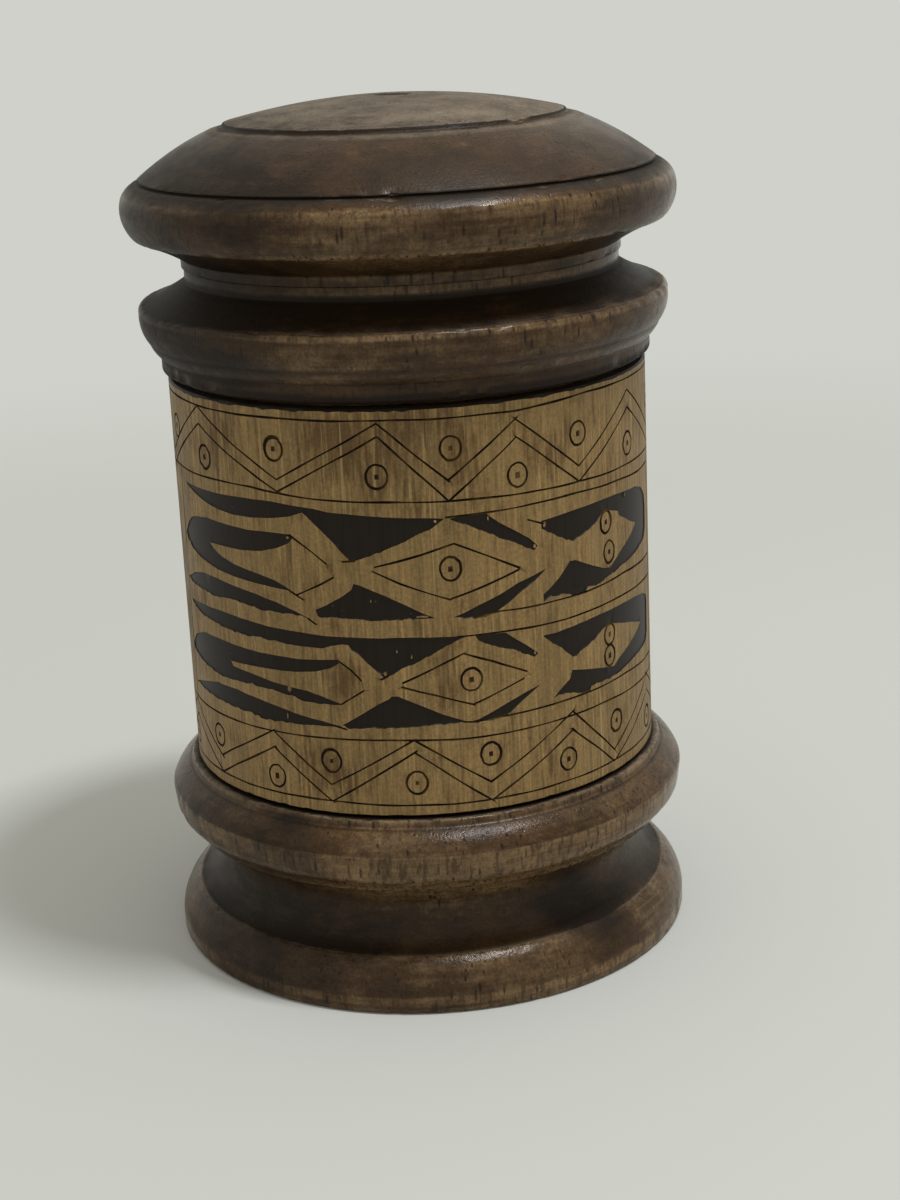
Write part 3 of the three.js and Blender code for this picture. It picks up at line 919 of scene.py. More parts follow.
def wood_material(settings):
    """Open-pored hardwood, turned between centres, stained, waxed and rubbed by hands.

    A deep brown that is lighter on beads and arrises and stays dark in the hollows, with fine lines
    round the axis from the gouge, and short dark pores along it.
    """
    material, tree, place = begun(HARDWOOD)
    worn, hollow, bare, dry = (
        add(tree, "ShaderNodeAttribute", {"attribute_name": name}).outputs["Fac"] for name in WOOD_ATTRIBUTES
    )
    # The gouge's lines run on across the faces of the wood, since they go by radius as well as by height
    flat = add(tree, "ShaderNodeVectorMath", {"operation": "MULTIPLY"}, (place, (1, 1, 0)))
    out = add(tree, "ShaderNodeVectorMath", {"operation": "LENGTH"}, (flat,)).outputs["Value"]
    facing = add(tree, "ShaderNodeVectorMath", {"operation": "NORMALIZE"}, (flat,))
    climb = add(tree, "ShaderNodeVectorMath", {"operation": "MULTIPLY"}, (place, (0, 0, GOUGE_LINES)))
    lines_at = add(tree, "ShaderNodeVectorMath", {"operation": "MULTIPLY_ADD"}, (facing, GOUGE_ROUND, climb))
    lines_out = add(tree, "ShaderNodeMath", {"operation": "MULTIPLY"}, (out, GOUGE_LINES))
    lines = add(
        tree,
        "ShaderNodeTexNoise",
        {"noise_dimensions": "4D"},
        {"Vector": lines_at, "W": lines_out, "Scale": 1.0, "Detail": 3.0, "Roughness": 0.6},
    )
    # Mottling of the stain in patches of 2 to 8 mm, a grain of rubbed dust 3 mm and finer, warmer patches,
    # fibres along the axis a third of a millimetre thick, a speckle as fine in the wax, clusters of pores,
    # and the dashes of cut vessels, half a millimetre wide, that hold the stain where the wood is rubbed
    mottle, rub, warmth, fibre, speckle, cluster, dash = drawn_out(
        tree,
        place,
        ((115, 115, 264.5), 9, 0.74),
        ((170, 170, 323), 8, 0.74, 51, 17, 34),
        ((75, 75, 75), 7, 0.5, 37.5, 15, 7.5),
        ((2400, 2400, 480), 4, 0.5),
        ((2300, 2300, 2300), 3, 0.7),
        ((95, 95, 95), 3, 0.5, 66.5, 38, 85.5),
        ((1050, 1050, 170), 3, 0.5),
    )
    # Pores, 0.3 mm thick and 1 to 4 mm long
    pore_at = add(tree, "ShaderNodeMapping", inputs={"Vector": place, "Scale": (860, 860, 170)})
    pore = add(tree, "ShaderNodeTexVoronoi", {"feature": "F1"}, {"Vector": pore_at, "Scale": 1.0})
    soft = {"interpolation_type": "SMOOTHSTEP"}
    core = add(tree, "ShaderNodeMapRange", soft, (pore.outputs["Distance"], 0.13, 0.29, 1, 0))
    cluster = summed(tree, cluster, (worn, 0.2))
    clustered = add(tree, "ShaderNodeMapRange", inputs=(cluster, 0.5, 0.66, 0.08, 1))
    pores = add(tree, "ShaderNodeMath", {"operation": "MULTIPLY"}, (core, clustered))
    pore_share = add(tree, "ShaderNodeMath", {"operation": "MULTIPLY"}, (pores, 0.8))
    dashed = add(tree, "ShaderNodeMapRange", inputs=(dash, 0.52, 0.6, 0, 0.55))
    dashes = add(tree, "ShaderNodeMath", {"operation": "MULTIPLY"}, (dashed, worn))

    # How deep the stain is and where it is rubbed through, as sums of what works on it: the deep stain is
    # partly grime and partly painted shade in the hollows, the rubbed share partly wear and partly painted
    # light and sheen
    deep = summed(tree, -0.4, (hollow, 0.85), (worn, -0.3), (mottle, 2.0), (lines, 0.9), (fibre, 0.3))
    deep = add(tree, "ShaderNodeMapRange", inputs=(deep, 0.95, 1.8, 0, 1))
    rubbed = summed(tree, -2.0, (worn, 0.9), (hollow, -0.6), (rub, 2.2), (lines, 1.1), (fibre, 0.4))
    rubbed = add(tree, "ShaderNodeMapRange", inputs=(rubbed, 0, 0.95, 0, 0.95))
    warm = add(tree, "ShaderNodeMapRange", inputs=(warmth, 0.42, 0.68, 0, 0.36))
    layers = ((warm, "#5c3f22"), (rubbed, settings.worn), (dry, settings.dry), (deep, settings.deep))
    colour = layered(tree, tuple(settings.stain), *layers, (bare, settings.bare))
    colour = toned(tree, colour, (lines, 0.8, 1.2), (fibre, 0.87, 1.12), (speckle, 0.72, 1.28))
    colour = layered(tree, colour, (dashes, "#2b1e12"), (pore_share, "#150d07"))

    # Waxed and rubbed on the beads, dull in the hollows and on the dry crown
    dull = summed(tree, dry, (hollow, 1.0), (worn, -0.4), (mottle, 0.8))
    roughness = add(tree, "ShaderNodeMapRange", inputs=(dull, 0.1, 1.3, 0.17, 0.62))
    height = summed(tree, lines, (pores, -1.2), (fibre, 1.5), (speckle, 1.4))
    # Hands have polished the arrises and the beads
    strength = add(tree, "ShaderNodeMapRange", inputs=(worn, 0.2, 1, 0.48, 0.25))
    return finished(material, colour, roughness, 0.19, (height, strength, 0.08))


def skin_material(settings):
    """The culm's own skin, smoked, aged and handled.

    A golden brown in close vertical fibres, with a few pale hairlines, browner bands and smudges.
    """
    material, tree, place = begun("aged_bamboo_skin")
    grime = add(tree, "ShaderNodeAttribute", {"attribute_name": "grime"}).outputs["Fac"]
    # Fibres 0.4 mm thick and a centimetre long, bands of them 2 mm wide, a grain of 0.5 mm, smudges of 4 to
    # 10 mm, the dashes of 2 to 4 mm that fray them along the fibres, and hairlines a quarter of a millimetre
    # wide that run most of the way up
    fibre, band, grain, smudge, stroke, long_hair = drawn_out(
        tree,
        place,
        ((2300, 2300, 90), 5, 0.6),
        ((450, 450, 22), 3, 0.5),
        ((1900, 1900, 1900), 3, 0.7),
        ((210, 210, 130), 7, 0.7),
        ((1500, 1500, 170), 5, 0.5),
        ((1500, 1500, 18), 2, 0.5),
    )
    brown = summed(tree, smudge, (grime, 0.3), (stroke, 1.25))
    brown = add(tree, "ShaderNodeMapRange", inputs=(brown, 1.13, 1.45, 0, 0.7))
    colour = layered(tree, tuple(settings.skin), (brown, "#4b3214"))
    colour = toned(tree, colour, (fibre, 0.7, 1.26), (band, 0.84, 1.14), (grain, 0.77, 1.23))
    short_hair = add(tree, "ShaderNodeMapRange", inputs=(fibre, 0.62, 0.7, 0, 0.55))
    long_hair = add(tree, "ShaderNodeMapRange", inputs=(long_hair, 0.672, 0.712, 0, 0.6))
    hair = add(tree, "ShaderNodeMath", {"operation": "MAXIMUM"}, (short_hair, long_hair))
    colour = layered(tree, colour, (hair, "#a58c61"))
    roughness = add(tree, "ShaderNodeMapRange", inputs=(smudge, NOISE_LOW, NOISE_HIGH, 0.42, 0.6))
    return finished(material, colour, roughness, 0.26, (fibre, 0.5, 0.03))


def scraped_material(settings):
    """Bamboo scraped below its skin and rubbed with soot and grease.

    A warm near-black with a low gloss, faintly streaked along the fibres, with a few pale specks.
    """
    material, tree, place = begun("scraped_sooted_bamboo")
    (fibre,) = drawn_out(tree, place, ((1700, 1700, 90), 5, 0.5))
    colour = toned(tree, tuple(settings.soot)[:3], (fibre, 0.82, 1.2))
    # Specks of dust and of bare fibre, a third of a millimetre across and far apart
    speck = add(tree, "ShaderNodeTexVoronoi", {"feature": "F1"}, {"Vector": place, "Scale": 330.0})
    specked = add(tree, "ShaderNodeMapRange", inputs=(speck.outputs["Distance"], 0.03, 0.07, 0.3, 0))
    return finished(material, layered(tree, colour, (specked, "#6f6048")), 0.42, 0.16, (fibre, 0.5, 0.03))


def cut_material():
    """A knife's cut, filled with soot and grease: a dull brown-black that breaks a little where rubbed."""
    material, tree, place = begun("soot_filled_cut")
    (grime,) = drawn_out(tree, place, ((260, 260, 260), 5, 0.65))
    rubbed = add(tree, "ShaderNodeMapRange", inputs=(grime, 0.46, 0.66, 0, 1))
    return finished(material, layered(tree, linear("#20160c"), (rubbed, "#55411f")), 0.8, 0.15)


# The sawn end is painted darker from its middle outwards, as painted shade in the gap where the lid and the
# foot meet the tube
GAP_SHADE_FROM, GAP_SHADE_FULL = 38.5 * MM, 41 * MM


def sawn_material():
    """The culm's sawn end: brown end grain, dotted with dark bundles of fibres half a millimetre apart."""
    material, tree, place = begun("sawn_bamboo_end")
    bundle_at = add(tree, "ShaderNodeMapping", inputs={"Vector": place, "Scale": (1500, 1500, 60)})
    bundle = add(tree, "ShaderNodeTexVoronoi", {"feature": "F1"}, {"Vector": bundle_at, "Scale": 1.0})
    dotted = add(tree, "ShaderNodeMapRange", inputs=(bundle.outputs["Distance"], 0.2, 0.42, 0.8, 0))
    (grime,) = drawn_out(tree, place, ((160, 160, 160), 5, 0.5))
    flat = add(tree, "ShaderNodeVectorMath", {"operation": "MULTIPLY"}, (place, (1, 1, 0)))
    out = add(tree, "ShaderNodeVectorMath", {"operation": "LENGTH"}, (flat,)).outputs["Value"]
    rim = add(tree, "ShaderNodeMapRange", inputs=(out, GAP_SHADE_FROM, GAP_SHADE_FULL, 0, 0.85))
    # The outer rim of the sawn end is painted near black as painted shade of the gap
    colour = layered(tree, linear("#76603f"), (grime, "#4a3922"), (dotted, "#33261a"), (rim, "#1a130c"))
    return finished(material, colour, 0.75, 0.25, (grime, 0.4, 0.1))


def bore_material():
    """The culm's inner wall, reamed and left plain: paler and duller than the skin, streaked lengthways."""
    material, tree, place = begun("reamed_bamboo_bore")
    fibre, grime = drawn_out(tree, place, ((1400, 1400, 40), 6, 0.5), ((70, 70, 70), 6, 0.5))
    colour = layered(tree, linear("#a08960"), (grime, "#6a5435"))
    return finished(material, toned(tree, colour, (fibre, 0.78, 1.15)), 0.7, 0.25, (fibre, 0.5, 0.06))


# From here to there, in metres from the box, the floor runs out into the background
FLOOR_PLAIN_TO, FLOOR_GONE_FROM = 0.16, 0.6


def floor_material(settings):
    """A matt studio board that runs out into the plain pale background, and keeps the box's shadow."""
    material, tree, place = begun("pale_studio_board")
    away = add(tree, "ShaderNodeVectorMath", {"operation": "LENGTH"}, (place,)).outputs["Value"]
    soft = {"interpolation_type": "SMOOTHSTEP"}
    faded = add(tree, "ShaderNodeMapRange", soft, (away, FLOOR_PLAIN_TO, FLOOR_GONE_FROM, 0, 1))
    share = add(tree, "ShaderNodeMath", {"operation": "MULTIPLY"}, (faded, seen_directly(tree)))
    matt = {"Base Color": tuple(settings.floor), "Roughness": 0.85}
    board = add(tree, "ShaderNodeBsdfPrincipled", inputs=matt)
    plain = add(tree, "ShaderNodeEmission", inputs={"Color": tuple(settings.background), "Strength": 1.0})
    mixed = add(tree, "ShaderNodeMixShader", inputs=(share, board, plain))
    add(tree, "ShaderNodeOutputMaterial", inputs={"Surface": mixed})
    return material


def seen_directly(tree):
    """1 for what the camera sees, also by reflection or through glass, and 0 for what only gives light."""
    path = add(tree, "ShaderNodeLightPath")
    seen = path.outputs["Is Camera Ray"]
    for name in ("Is Glossy Ray", "Is Transmission Ray"):
        seen = add(tree, "ShaderNodeMath", {"operation": "MAXIMUM"}, (seen, path.outputs[name])).outputs[0]
    return seen


def dense(points, step, closed=False):
    """The same line with a point at least every step."""
    made = []
    ends = points[1:] + points[:1] if closed else points[1:]
    for start, end in zip(points, ends):
        count = max(1, math.ceil((end - start).length / step))
        made += [start.lerp(end, k / count) for k in range(count)]
    if not closed:
        made.append(points[-1])
    return made


def around(point, scale=1.0):
    """A point of the flat pattern as a place in space, so that noise runs on across the seam."""
    angle = point.x / TUBE_RADIUS
    return Vector((math.sin(angle) * TUBE_RADIUS, math.cos(angle) * TUBE_RADIUS, point.y)) * scale


# How far off the second of two noises is read
ASIDE = Vector((9.3, -1.5, -7.9))


def wandering(points, amount=0.12, scale=0.16):
    """A hand-cut line strays a little. noise_vector would do, but it isn't the same in each run."""
    made = []
    for p in points:
        at = around(p, scale)
        made.append(p + Vector((noise.noise(at + ASIDE), noise.noise(at))) * amount)
    return made


def chance_at(*numbers):
    """A number from 0 to 1 that is always the same for the same whole numbers."""
    return random.Random(" ".join(str(number) for number in numbers)).random()


def torn(points, step=0.4, cell=0.9, amount=0.26):
    """An edge that broke away across the fibres: it jumps up and down from one bundle of them to the next."""
    made = []
    for p in dense(points, step):
        jump = chance_at(math.floor(p.x / cell), round(p.y / 3)) - 0.5
        soft = noise.noise(around(p, 1.1))
        made.append(p + Vector((0, amount * jump + 0.35 * amount * soft)))
    return made


def edge_of(runs, shift):
    """The closed edge of a scraped area, round the tube by a shift."""
    loop = []
    for (kind, *places), after in zip(runs, runs[1:] + runs[:1]):
        points = [Vector((x + shift, y)) for x, y in (*places, after[1])]
        made = torn(points) if kind == "torn" else wandering(dense(points, 1.0), 0.05, 0.5)
        loop += made[:-1]
    return loop


def oval(middle, half_width, half_height, count, wobble=0.0):
    """A hand-cut ring."""
    made = []
    for k in range(count + 1):
        angle = 2 * math.pi * k / count + 1.1
        p = middle + Vector((math.cos(angle) * half_width, math.sin(angle) * half_height))
        made.append(p + Vector((0.7, 1.0)) * wobble * noise.noise(around(p, 1.3)))
    return made


def carried_on(stroke):
    """A stroke that crosses the seam, again at the sheet's other edge."""
    return [p - Vector((GIRTH, 0)) for p in stroke]


# A dot is pricked with the knife's tip: its corners, as shares of half its width and a little higher
DOT_CORNERS = ((-1, -1), (1, -0.9), (0.9, 1), (-1, 0.8))
STROKE_STEP = 1.4  # between the points of a stroke
RING_STEPS, RING_WOBBLE = 36, 0.12
CUT_TWICE = 0.45  # the share of rings that the knife went round a second time, in part


def pattern():
    """The engraved strokes, the rings, the scraped areas, the dots in the rings, and the slivers of skin."""
    chance = random.Random(7)
    strokes = []
    for zigzag in (TOP_ZIGZAG, LOW_ZIGZAG):
        for start, end in zip(zigzag, zigzag[1:]):
            for line in (1, 2):
                a, b = Vector((start[0], start[line])), Vector((end[0], end[line]))
                along = (b - a).normalized()
                strokes.append([a - along * chance.uniform(-0.1, 0.3), b + along * chance.uniform(-0.2, 0.6)])
    areas, dots, slivers, rings = [], [], [], [(Vector(p), *BAND_RING) for p in BAND_DOTS]
    for shift in (0, BACK):
        for stroke in PANEL_STROKES.values():
            strokes.append([Vector((x + shift, y)) for x, y in stroke])
        areas += [edge_of(runs, shift) for runs in PANEL_AREAS.values()]
        rings += [(Vector((x + shift, y)), wide, high) for x, y, wide, high in PANEL_DOTS]
        for x, y, wide, high in PANEL_SLIVERS:
            slivers.append(oval(Vector((x + shift, y)), wide / 2, high / 2, 9, 0.15)[:-1])
    strokes = [wandering(dense(stroke, STROKE_STEP)) for stroke in strokes]
    strokes += [carried_on(stroke) for stroke in strokes if max(p.x for p in stroke) > SEAM + GIRTH]
    for ring in RINGS:
        whole = [Vector(p) for p in ring]
        whole = [whole[-1] - Vector((GIRTH, 0)), *whole, whole[0] + Vector((GIRTH, 0))]
        strokes.append(wandering(dense(whole, STROKE_STEP)))
    circles = []
    for middle, wide, high in rings:
        circles.append(oval(middle, wide, high, RING_STEPS, RING_WOBBLE))
        if chance.random() < CUT_TWICE:
            slipped = Vector((chance.uniform(-0.2, 0.2), chance.uniform(-0.2, 0.2)))
            again = oval(middle + slipped, wide, high, RING_STEPS, RING_WOBBLE)
            circles.append(again[: chance.randint(9, 20)])
        size = chance.uniform(0.3, 0.44)
        dots.append([middle + Vector((x * size, y * size * 1.25)) for x, y in DOT_CORNERS])
    return strokes, circles, areas, dots, slivers


RUN = 24  # how much of a chain is measured at once


def gap_from(points, chains, reach):
    """The distance of each point from the nearest of the chains, no more than a reach."""
    best = np.full(len(points), reach)
    for chain in chains:
        places = np.array([list(p) for p in chain])
        for first in range(0, len(places) - 1, RUN):
            a = places[first : first + RUN]
            b = places[first + 1 : first + RUN + 1]
            a = a[: len(b)]
            low = np.minimum(a.min(0), b.min(0)) - reach
            high = np.maximum(a.max(0), b.max(0)) + reach
            near = np.where(((points >= low) & (points <= high)).all(1))[0]
            if not len(near):
                continue
            ab = b - a
            ap = points[near][:, None, :] - a[None]
            t = np.clip((ap * ab).sum(2) / np.maximum((ab * ab).sum(1), 1e-12), 0, 1)
            gap = np.linalg.norm(ap - t[..., None] * ab, axis=2).min(1)
            best[near] = np.minimum(best[near], gap)
    return best


def inside(points, loops):
    """Which points lie in one of the closed loops, by counting crossings."""
    found = np.zeros(len(points), bool)
    for loop in loops:
        loop = np.array([list(p) for p in loop])
        near = np.where(((points >= loop.min(0)) & (points <= loop.max(0))).all(1))[0]
        x, y = points[near, 0], points[near, 1]
        hit = np.zeros(len(near), bool)
        for (ax, ay), (bx, by) in zip(loop, np.roll(loop, -1, 0)):
            if ay != by:
                hit ^= ((ay > y) != (by > y)) & (x < (bx - ax) * (y - ay) / (by - ay) + ax)
        found[near] |= hit
    return found


def beside(line, offset, pressed=lambda p: 1.0):
    """The line moved sideways, by more where the knife was pressed."""
    made = []
    for i, p in enumerate(line):
        before, after = line[max(i - 1, 0)], line[min(i + 1, len(line) - 1)]
        along = (after - before).normalized()
        made.append(p + Vector((-along.y, along.x)) * offset * pressed(p))
    return made


def pressure(point):
    """How hard the knife was pressed at a point of the pattern, about 1."""
    return 1.0 + 0.45 * noise.noise(around(point, 0.22))


# The sheet's own sizes, in millimetres: the steps along its edge, between its plain points across and up, how
# wide the slope down into a scraped area is, and how deep and how steep the pricked dots are
EDGE_STEP = 1.2
PLAIN_ACROSS, PLAIN_UP = 1.1, 2.2
SLOPE = 0.14
PRICK_DEPTH, PRICK_SLOPE = 0.3, 0.1
RING_WIDER = 1.35  # a ring's cut against a line's
DARK_SHARE = 0.92  # how much of a cut's width is dark
REACH = 1.0  # farther than any cut or slope goes
# How ragged the saw left the ends, and the most of it, at the bottom and at the top
RAGGED_LOW, RAGGED_LOW_MOST = 0.3, 0.2
RAGGED_HIGH, RAGGED_HIGH_MOST = 0.5, 0.3


def culm_sheet(settings):
    """The tube's outer face as a flat sheet with the pattern cut and scraped into it."""
    half = settings.line_width / MM / 2
    strokes, circles, areas, dots, slivers = pattern()
    cuts = ((strokes, half), (circles, RING_WIDER * half))
    low, high = TUBE_BOTTOM + EDGE_BREAK, TUBE_TOP - EDGE_BREAK
    left, right = SEAM, SEAM + GIRTH
    points, edges = [], []

    def take(chain, closed=False):
        first = len(points)
        points.extend(chain)
        edges.extend((first + i, first + i + 1) for i in range(len(chain) - 1))
        if closed:
            edges.append((len(points) - 1, first))

    def take_within(chain):
        """Takes what lies on the sheet, and ends each part that leaves it on the sheet's own edge."""
        run = []
        for p, q in zip(chain, chain[1:]):
            if left < p.x < right and low < p.y < high:
                run.append(p)
            for side in (left, right):
                if (p.x - side) * (q.x - side) < 0:
                    run.append(p.lerp(q, (side - p.x) / (q.x - p.x)))
            if run and not (left < q.x < right and low < q.y < high):
                take(run)
                run = []
        if run:
            take(run + [chain[-1]])

    def cut_into(places, share):
        """For each sort of cut: how hard it is pressed, how far it is, and a share of how wide it is."""
        pressed = np.array([pressure(Vector(p)) for p in places])
        for chains, width in cuts:
            yield pressed, gap_from(places, chains, REACH), share * width

    corners = [Vector((left, low)), Vector((right, low)), Vector((right, high)), Vector((left, high))]
    take(dense(corners, EDGE_STEP, closed=True), closed=True)
    for chains, width in cuts:
        for chain in chains:
            for line in (chain, beside(chain, width, pressure), beside(chain, -width, pressure)):
                take_within(line)
    for loop in areas + dots + slivers:
        take(loop, closed=True)
    ringed = [loop + loop[:1] for loop in areas + dots + slivers]
    spots = []
    columns, rows = round(GIRTH / PLAIN_ACROSS), round((high - low) / PLAIN_UP)
    for i in range(1, columns):
        for j in range(1, rows):
            spots.append((left + GIRTH * (i + 0.5 * (j % 2)) / columns, low + (high - low) * j / rows))
    for loop in ringed:
        for side in (SLOPE, -SLOPE):
            spots += [tuple(p) for p in beside(loop, side)[:-1]]
    spots = np.array(spots)
    free = gap_from(spots, ringed, 0.5) > 0.8 * SLOPE
    free &= gap_from(spots, strokes + circles, REACH) > 2 * half
    free &= (spots[:, 0] < right - 0.3) & (spots[:, 0] > left + 0.3)
    points += [Vector(p) for p in spots[free]]
    verts, _, faces, *_ = delaunay_2d_cdt(points, edges, [], 0, 1e-4)
    flat = np.array([list(v) for v in verts])
    corners_of = flat[np.array(faces)]
    on_edge = np.zeros(len(faces), bool)
    for axis, edge in ((0, left), (0, right), (1, low), (1, high)):
        on_edge |= (np.abs(corners_of[:, :, axis] - edge) < 0.001).all(axis=1)
    faces = [face for face, sliver in zip(faces, on_edge) if not sliver]

    cut = np.zeros(len(flat))
    for pressed, gap, width in cut_into(flat, 1):
        cut = np.maximum(cut, pressed * np.clip(1 - gap / (width * pressed), 0, 1))
    cut *= settings.line_depth / MM
    in_area = inside(flat, areas) & ~inside(flat, slivers)
    from_edge = gap_from(flat, ringed, REACH)
    scraped = settings.scrape / MM * np.clip(from_edge / SLOPE, 0, 1) * in_area
    pricked = PRICK_DEPTH * np.clip(from_edge / PRICK_SLOPE, 0, 1) * inside(flat, dots)
    depth = np.maximum(np.maximum(cut, scraped), pricked)
    ragged = np.array([noise.noise(around(Vector(p), 0.9)) for p in flat])
    at_low, at_high = flat[:, 1] < low + 0.01, flat[:, 1] > high - 0.01
    flat[:, 1] += np.where(at_low, np.clip(RAGGED_LOW * ragged, 0, RAGGED_LOW_MOST), 0)
    flat[:, 1] -= np.where(at_high, np.clip(RAGGED_HIGH * ragged, 0, RAGGED_HIGH_MOST), 0)
    mesh = bpy.data.meshes.new("culm_sheet")
    mesh.from_pydata([(x * MM, y * MM, -d * MM) for (x, y), d in zip(flat, depth)], [], faces)

    centres = np.array([flat[list(f)].mean(0) for f in faces])
    sooted = inside(centres, areas) & ~inside(centres, slivers)
    kinds = np.where(sooted, KINDS.index("scraped"), KINDS.index("skin"))
    dark = inside(centres, dots)
    for pressed, gap, width in cut_into(centres, DARK_SHARE):
        dark |= gap < width * pressed
    kinds = np.where(dark, KINDS.index("cut"), kinds)
    mesh.attributes.new("kind", "INT", "FACE").data.foreach_set("value", kinds.astype(np.int32))
    grime = np.zeros(len(flat))
    for sign, marks in ((1, SMUDGES), (-1, PALE_SPOTS)):
        for x, y, wide, high in marks:
            grime += sign * np.exp(-(((flat[:, 0] - x) / wide) ** 2) - ((flat[:, 1] - y) / high) ** 2)
    mesh.attributes.new("grime", "FLOAT", "POINT").data.foreach_set("value", grime.astype(np.float32))
    return mesh


TURN_ASIDE = 0.01  # an angle in radians at which no point of a rim lies


def close_the_tube(mesh):
    """Gives the wrapped skin its sawn ends and its bore."""
    form = bmesh.new()
    form.from_mesh(mesh)
    kind = form.faces.layers.int["kind"]

    def turn(vert):
        """The angle of a point round the axis. It starts where no point lies."""
        return (math.atan2(vert.co.y, vert.co.x) + TURN_ASIDE) % (2 * math.pi)

    def wall(rim, after, shows):
        """The faces between two rims that have as many points."""
        for a, b, c, d in zip(rim, rim[1:] + rim[:1], after[1:] + after[:1], after, strict=True):
            form.faces.new((a, b, c, d))[kind] = KINDS.index(shows)

    edge = [vert for vert in form.verts if vert.is_boundary]
    bores = []
    for height, inward in ((TUBE_TOP, -1), (TUBE_BOTTOM, 1)):
        rim = sorted((v for v in edge if abs(v.co.z / MM - height) < 3 * EDGE_BREAK), key=turn)
        for radius, z, shows in (
            # The outer edge break takes the dark scraped finish as painted shade in the gap under the lid and
            # over the foot
            (TUBE_RADIUS - EDGE_BREAK, height, "scraped"),
            (BORE_RADIUS + EDGE_BREAK, height, "sawn"),
            (BORE_RADIUS, height + inward * EDGE_BREAK, "bore"),
        ):
            after = [form.verts.new((*v.co.xy.normalized() * radius * MM, z * MM)) for v in rim]
            wall(rim, after, shows)
            rim = after
        bores.append(rim)
    wall(*bores, "bore")
    bmesh.ops.recalc_face_normals(form, faces=form.faces)
    form.to_mesh(mesh)
    form.free()


def turned_piece(name, template, is_bare, marks, settings):
    """Turns a piece of wood on the lathe and lets hands wear it."""
    tree, names = lathe_tree()
    mesh = template_mesh(f"{name}_template", template, settings.ease / MM, is_bare)
    wood = bpy.data.materials.get(HARDWOOD) or wood_material(settings)
    piece = grown(name, mesh, tree, {names["steps"]: settings.steps_round, names["wood"]: wood})
    face_outwards(piece.data)
    handled(piece.data, *marks)
    sharpen(piece.data, math.radians(40))
    return piece


class BOX_OT_lid(bpy.types.Operator):
    """Turns the lid"""

    bl_idname = "turned_box.lid"
    bl_label = "Lid"

    def execute(self, context):
        bowl_top = LID_SEAT + LID_BOWL_DEPTH - LID_SPIGOT_LENGTH + 0.1

        def is_bare(p):
            return p.y < LID_SEAT or (p.x <= LID_BOWL_RADIUS and p.y < bowl_top)

        marks = (LID_CHIPS, LID_STAIN_AND_SHADE, 1)
        lid = turned_piece("turned_lid", lid_template(), is_bare, marks, context.scene.box_lathe)
        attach(lid, "cover")
        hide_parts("lid")
        return {"FINISHED"}


class BOX_OT_foot(bpy.types.Operator):
    """Turns the foot"""

    bl_idname = "turned_box.foot"
    bl_label = "Foot"

    def execute(self, context):
        def is_bare(p):
            return p.y > TUBE_BOTTOM

        marks = (FOOT_CHIPS, FOOT_STAIN_AND_SHADE, 2)
        foot = turned_piece("turned_foot", foot_template(), is_bare, marks, context.scene.box_lathe)
        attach(foot, "base")
        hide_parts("foot")
        return {"FINISHED"}


class BOX_OT_tube(bpy.types.Operator):
    """Cuts the tube and its pattern"""

    bl_idname = "turned_box.tube"
    bl_label = "Engraved tube"

    def execute(self, context):
        settings = context.scene.box_culm
        tree, names = wrap_tree()
        sheet = culm_sheet(settings)
        finishes = [skin_material(settings), scraped_material(settings), cut_material()]
        finishes += [sawn_material(), bore_material()]
        shown = {names[kind]: finish for kind, finish in zip(KINDS[:3], finishes)}
        tube = grown("engraved_bamboo_tube", sheet, tree, shown)
        close_the_tube(tube.data)
        tube.data.materials.clear()
        for material in finishes:
            tube.data.materials.append(material)
        kinds = np.array([face.value for face in tube.data.attributes["kind"].data], np.int32)
        tube.data.polygons.foreach_set("material_index", kinds)
        sharpen(tube.data, math.radians(30))
        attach(tube, "base")
        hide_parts("bamboo_tube")
        return {"FINISHED"}


def area_lamp(name, place, target, size, power):
    """A soft square lamp."""
    data = bpy.data.lights.new(name, "AREA")
    data.shape = "SQUARE"
    data.size = size
    data.energy = power
    lamp = bpy.data.objects.new(name, data)
    bpy.context.scene.collection.objects.link(lamp)
    lamp.location = place
    lamp.rotation_mode = "QUATERNION"
    lamp.rotation_quaternion = (Vector(target) - Vector(place)).to_track_quat("-Z", "Y")
    return lamp


FLOOR_REACH = 3.0  # metres each way
ROOM_LIGHT = 0.72
# Where the window is and what it faces, in metres, how wide it is, and its power in watts
WINDOW = ((0.25, -0.17, 0.93), (0, 0, 0.08), 0.13, 4.8)


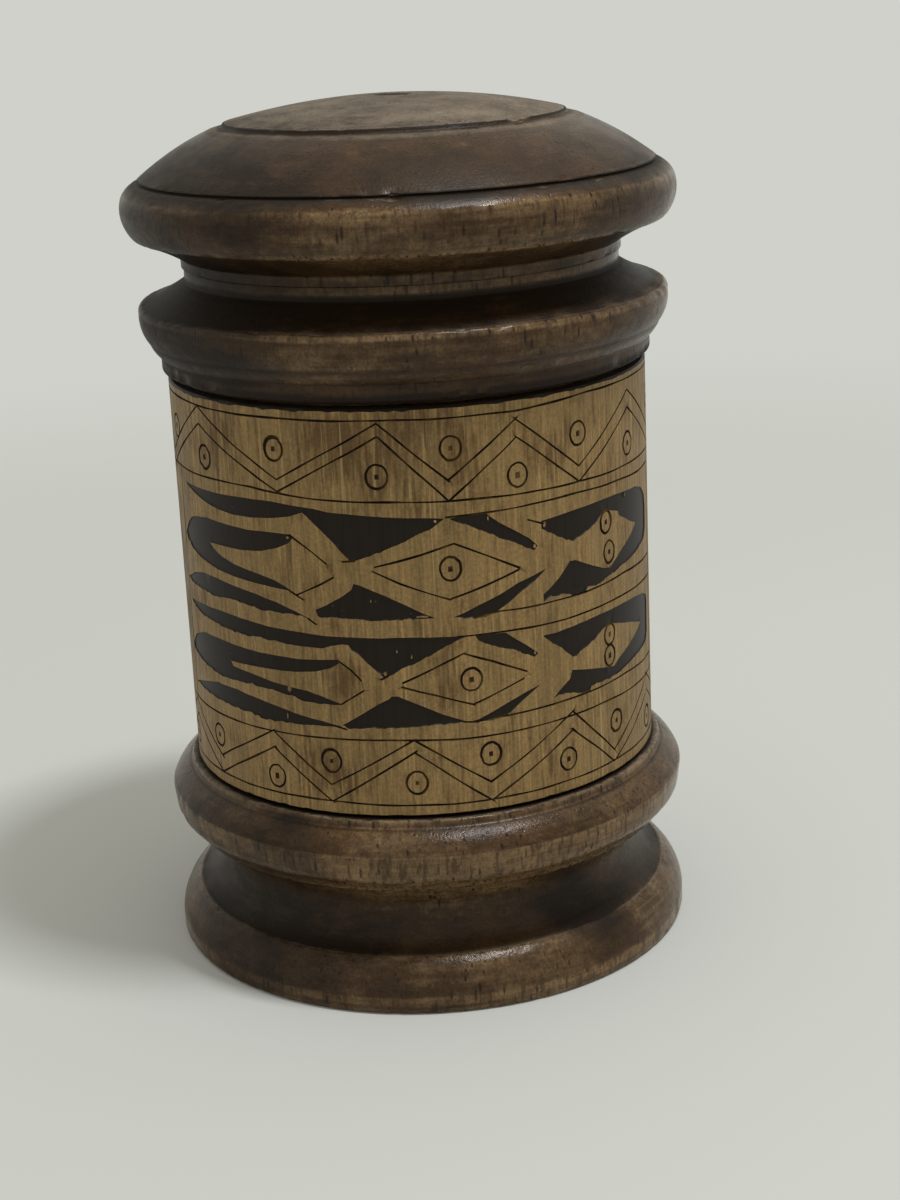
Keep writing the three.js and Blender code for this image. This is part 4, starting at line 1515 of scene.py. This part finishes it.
class BOX_OT_stage(bpy.types.Operator):
    """Sets the camera, the lamps and the floor"""

    bl_idname = "turned_box.stage"
    bl_label = "Stage"

    def execute(self, context):
        settings = context.scene.box_stage
        scene = context.scene
        scene.view_settings.view_transform = "Standard"
        cp, sp = math.cos(settings.pitch), math.sin(settings.pitch)
        look = Matrix(((1, 0, 0), (0, -sp, -cp), (0, cp, -sp)))
        turned = Matrix.Rotation(-settings.yaw, 3, "Z")
        rolled = Matrix.Rotation(settings.roll, 3, "Z")
        rows = rolled @ look @ turned
        data = bpy.data.cameras.new("camera")
        data.lens = settings.lens
        data.sensor_width = 36
        camera = bpy.data.objects.new("camera", data)
        scene.collection.objects.link(camera)
        pose = Matrix((rows[0], -rows[1], -rows[2])).transposed().to_4x4()
        pose.translation = Vector((0, -settings.camera_distance, settings.camera_height))
        camera.matrix_world = pose
        scene.camera = camera
        floor_mesh = bpy.data.meshes.new("floor")
        corners = [(x * FLOOR_REACH, y * FLOOR_REACH, 0) for x, y in ((-1, -1), (1, -1), (1, 1), (-1, 1))]
        floor_mesh.from_pydata(corners, [], [(0, 1, 2, 3)])
        floor = bpy.data.objects.new("floor", floor_mesh)
        scene.collection.objects.link(floor)
        floor_mesh.materials.append(floor_material(settings))
        floor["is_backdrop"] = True
        world = bpy.data.worlds.new("soft_room")
        world.use_nodes = True
        tree = world.node_tree
        tree.nodes.clear()
        light = add(tree, "ShaderNodeBackground", inputs=(linear("#f3f0e6"), ROOM_LIGHT))
        plain = add(tree, "ShaderNodeBackground", inputs=(tuple(settings.background), 1.0))
        mixed = add(tree, "ShaderNodeMixShader", inputs=(seen_directly(tree), light, plain))
        add(tree, "ShaderNodeOutputWorld", inputs={"Surface": mixed})
        scene.world = world
        area_lamp("window", *WINDOW)
        return {"FINISHED"}


class BOX_PT_panel(bpy.types.Panel):
    """Lists what the box is made of"""

    bl_label = "Turned box"
    bl_idname = "BOX_PT_panel"
    bl_space_type = "VIEW_3D"
    bl_region_type = "UI"
    bl_category = "Turned box"

    def draw(self, context):
        for operator in OPERATORS:
            self.layout.operator(operator.bl_idname)


OPERATORS = (BOX_OT_foot, BOX_OT_tube, BOX_OT_lid, BOX_OT_stage)
SETTINGS = {"box_lathe": LatheSettings, "box_culm": CulmSettings, "box_stage": StageSettings}


def register():
    for cls in (*SETTINGS.values(), *OPERATORS, BOX_PT_panel):
        bpy.utils.register_class(cls)
    for name, cls in SETTINGS.items():
        setattr(bpy.types.Scene, name, PointerProperty(type=cls))


def unregister():
    for name in SETTINGS:
        delattr(bpy.types.Scene, name)
    for cls in reversed((*SETTINGS.values(), *OPERATORS, BOX_PT_panel)):
        bpy.utils.unregister_class(cls)


def main():
    register()
    for operator in OPERATORS:
        name = operator.bl_idname.split(".")[1]
        getattr(bpy.ops.turned_box, name)()
    boxes = {"cad": CAD_BOX, "visual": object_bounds()}
    {key: [list(corner) for corner in box] for key, box in boxes.items()}


if __name__ == "__main__":
    main()
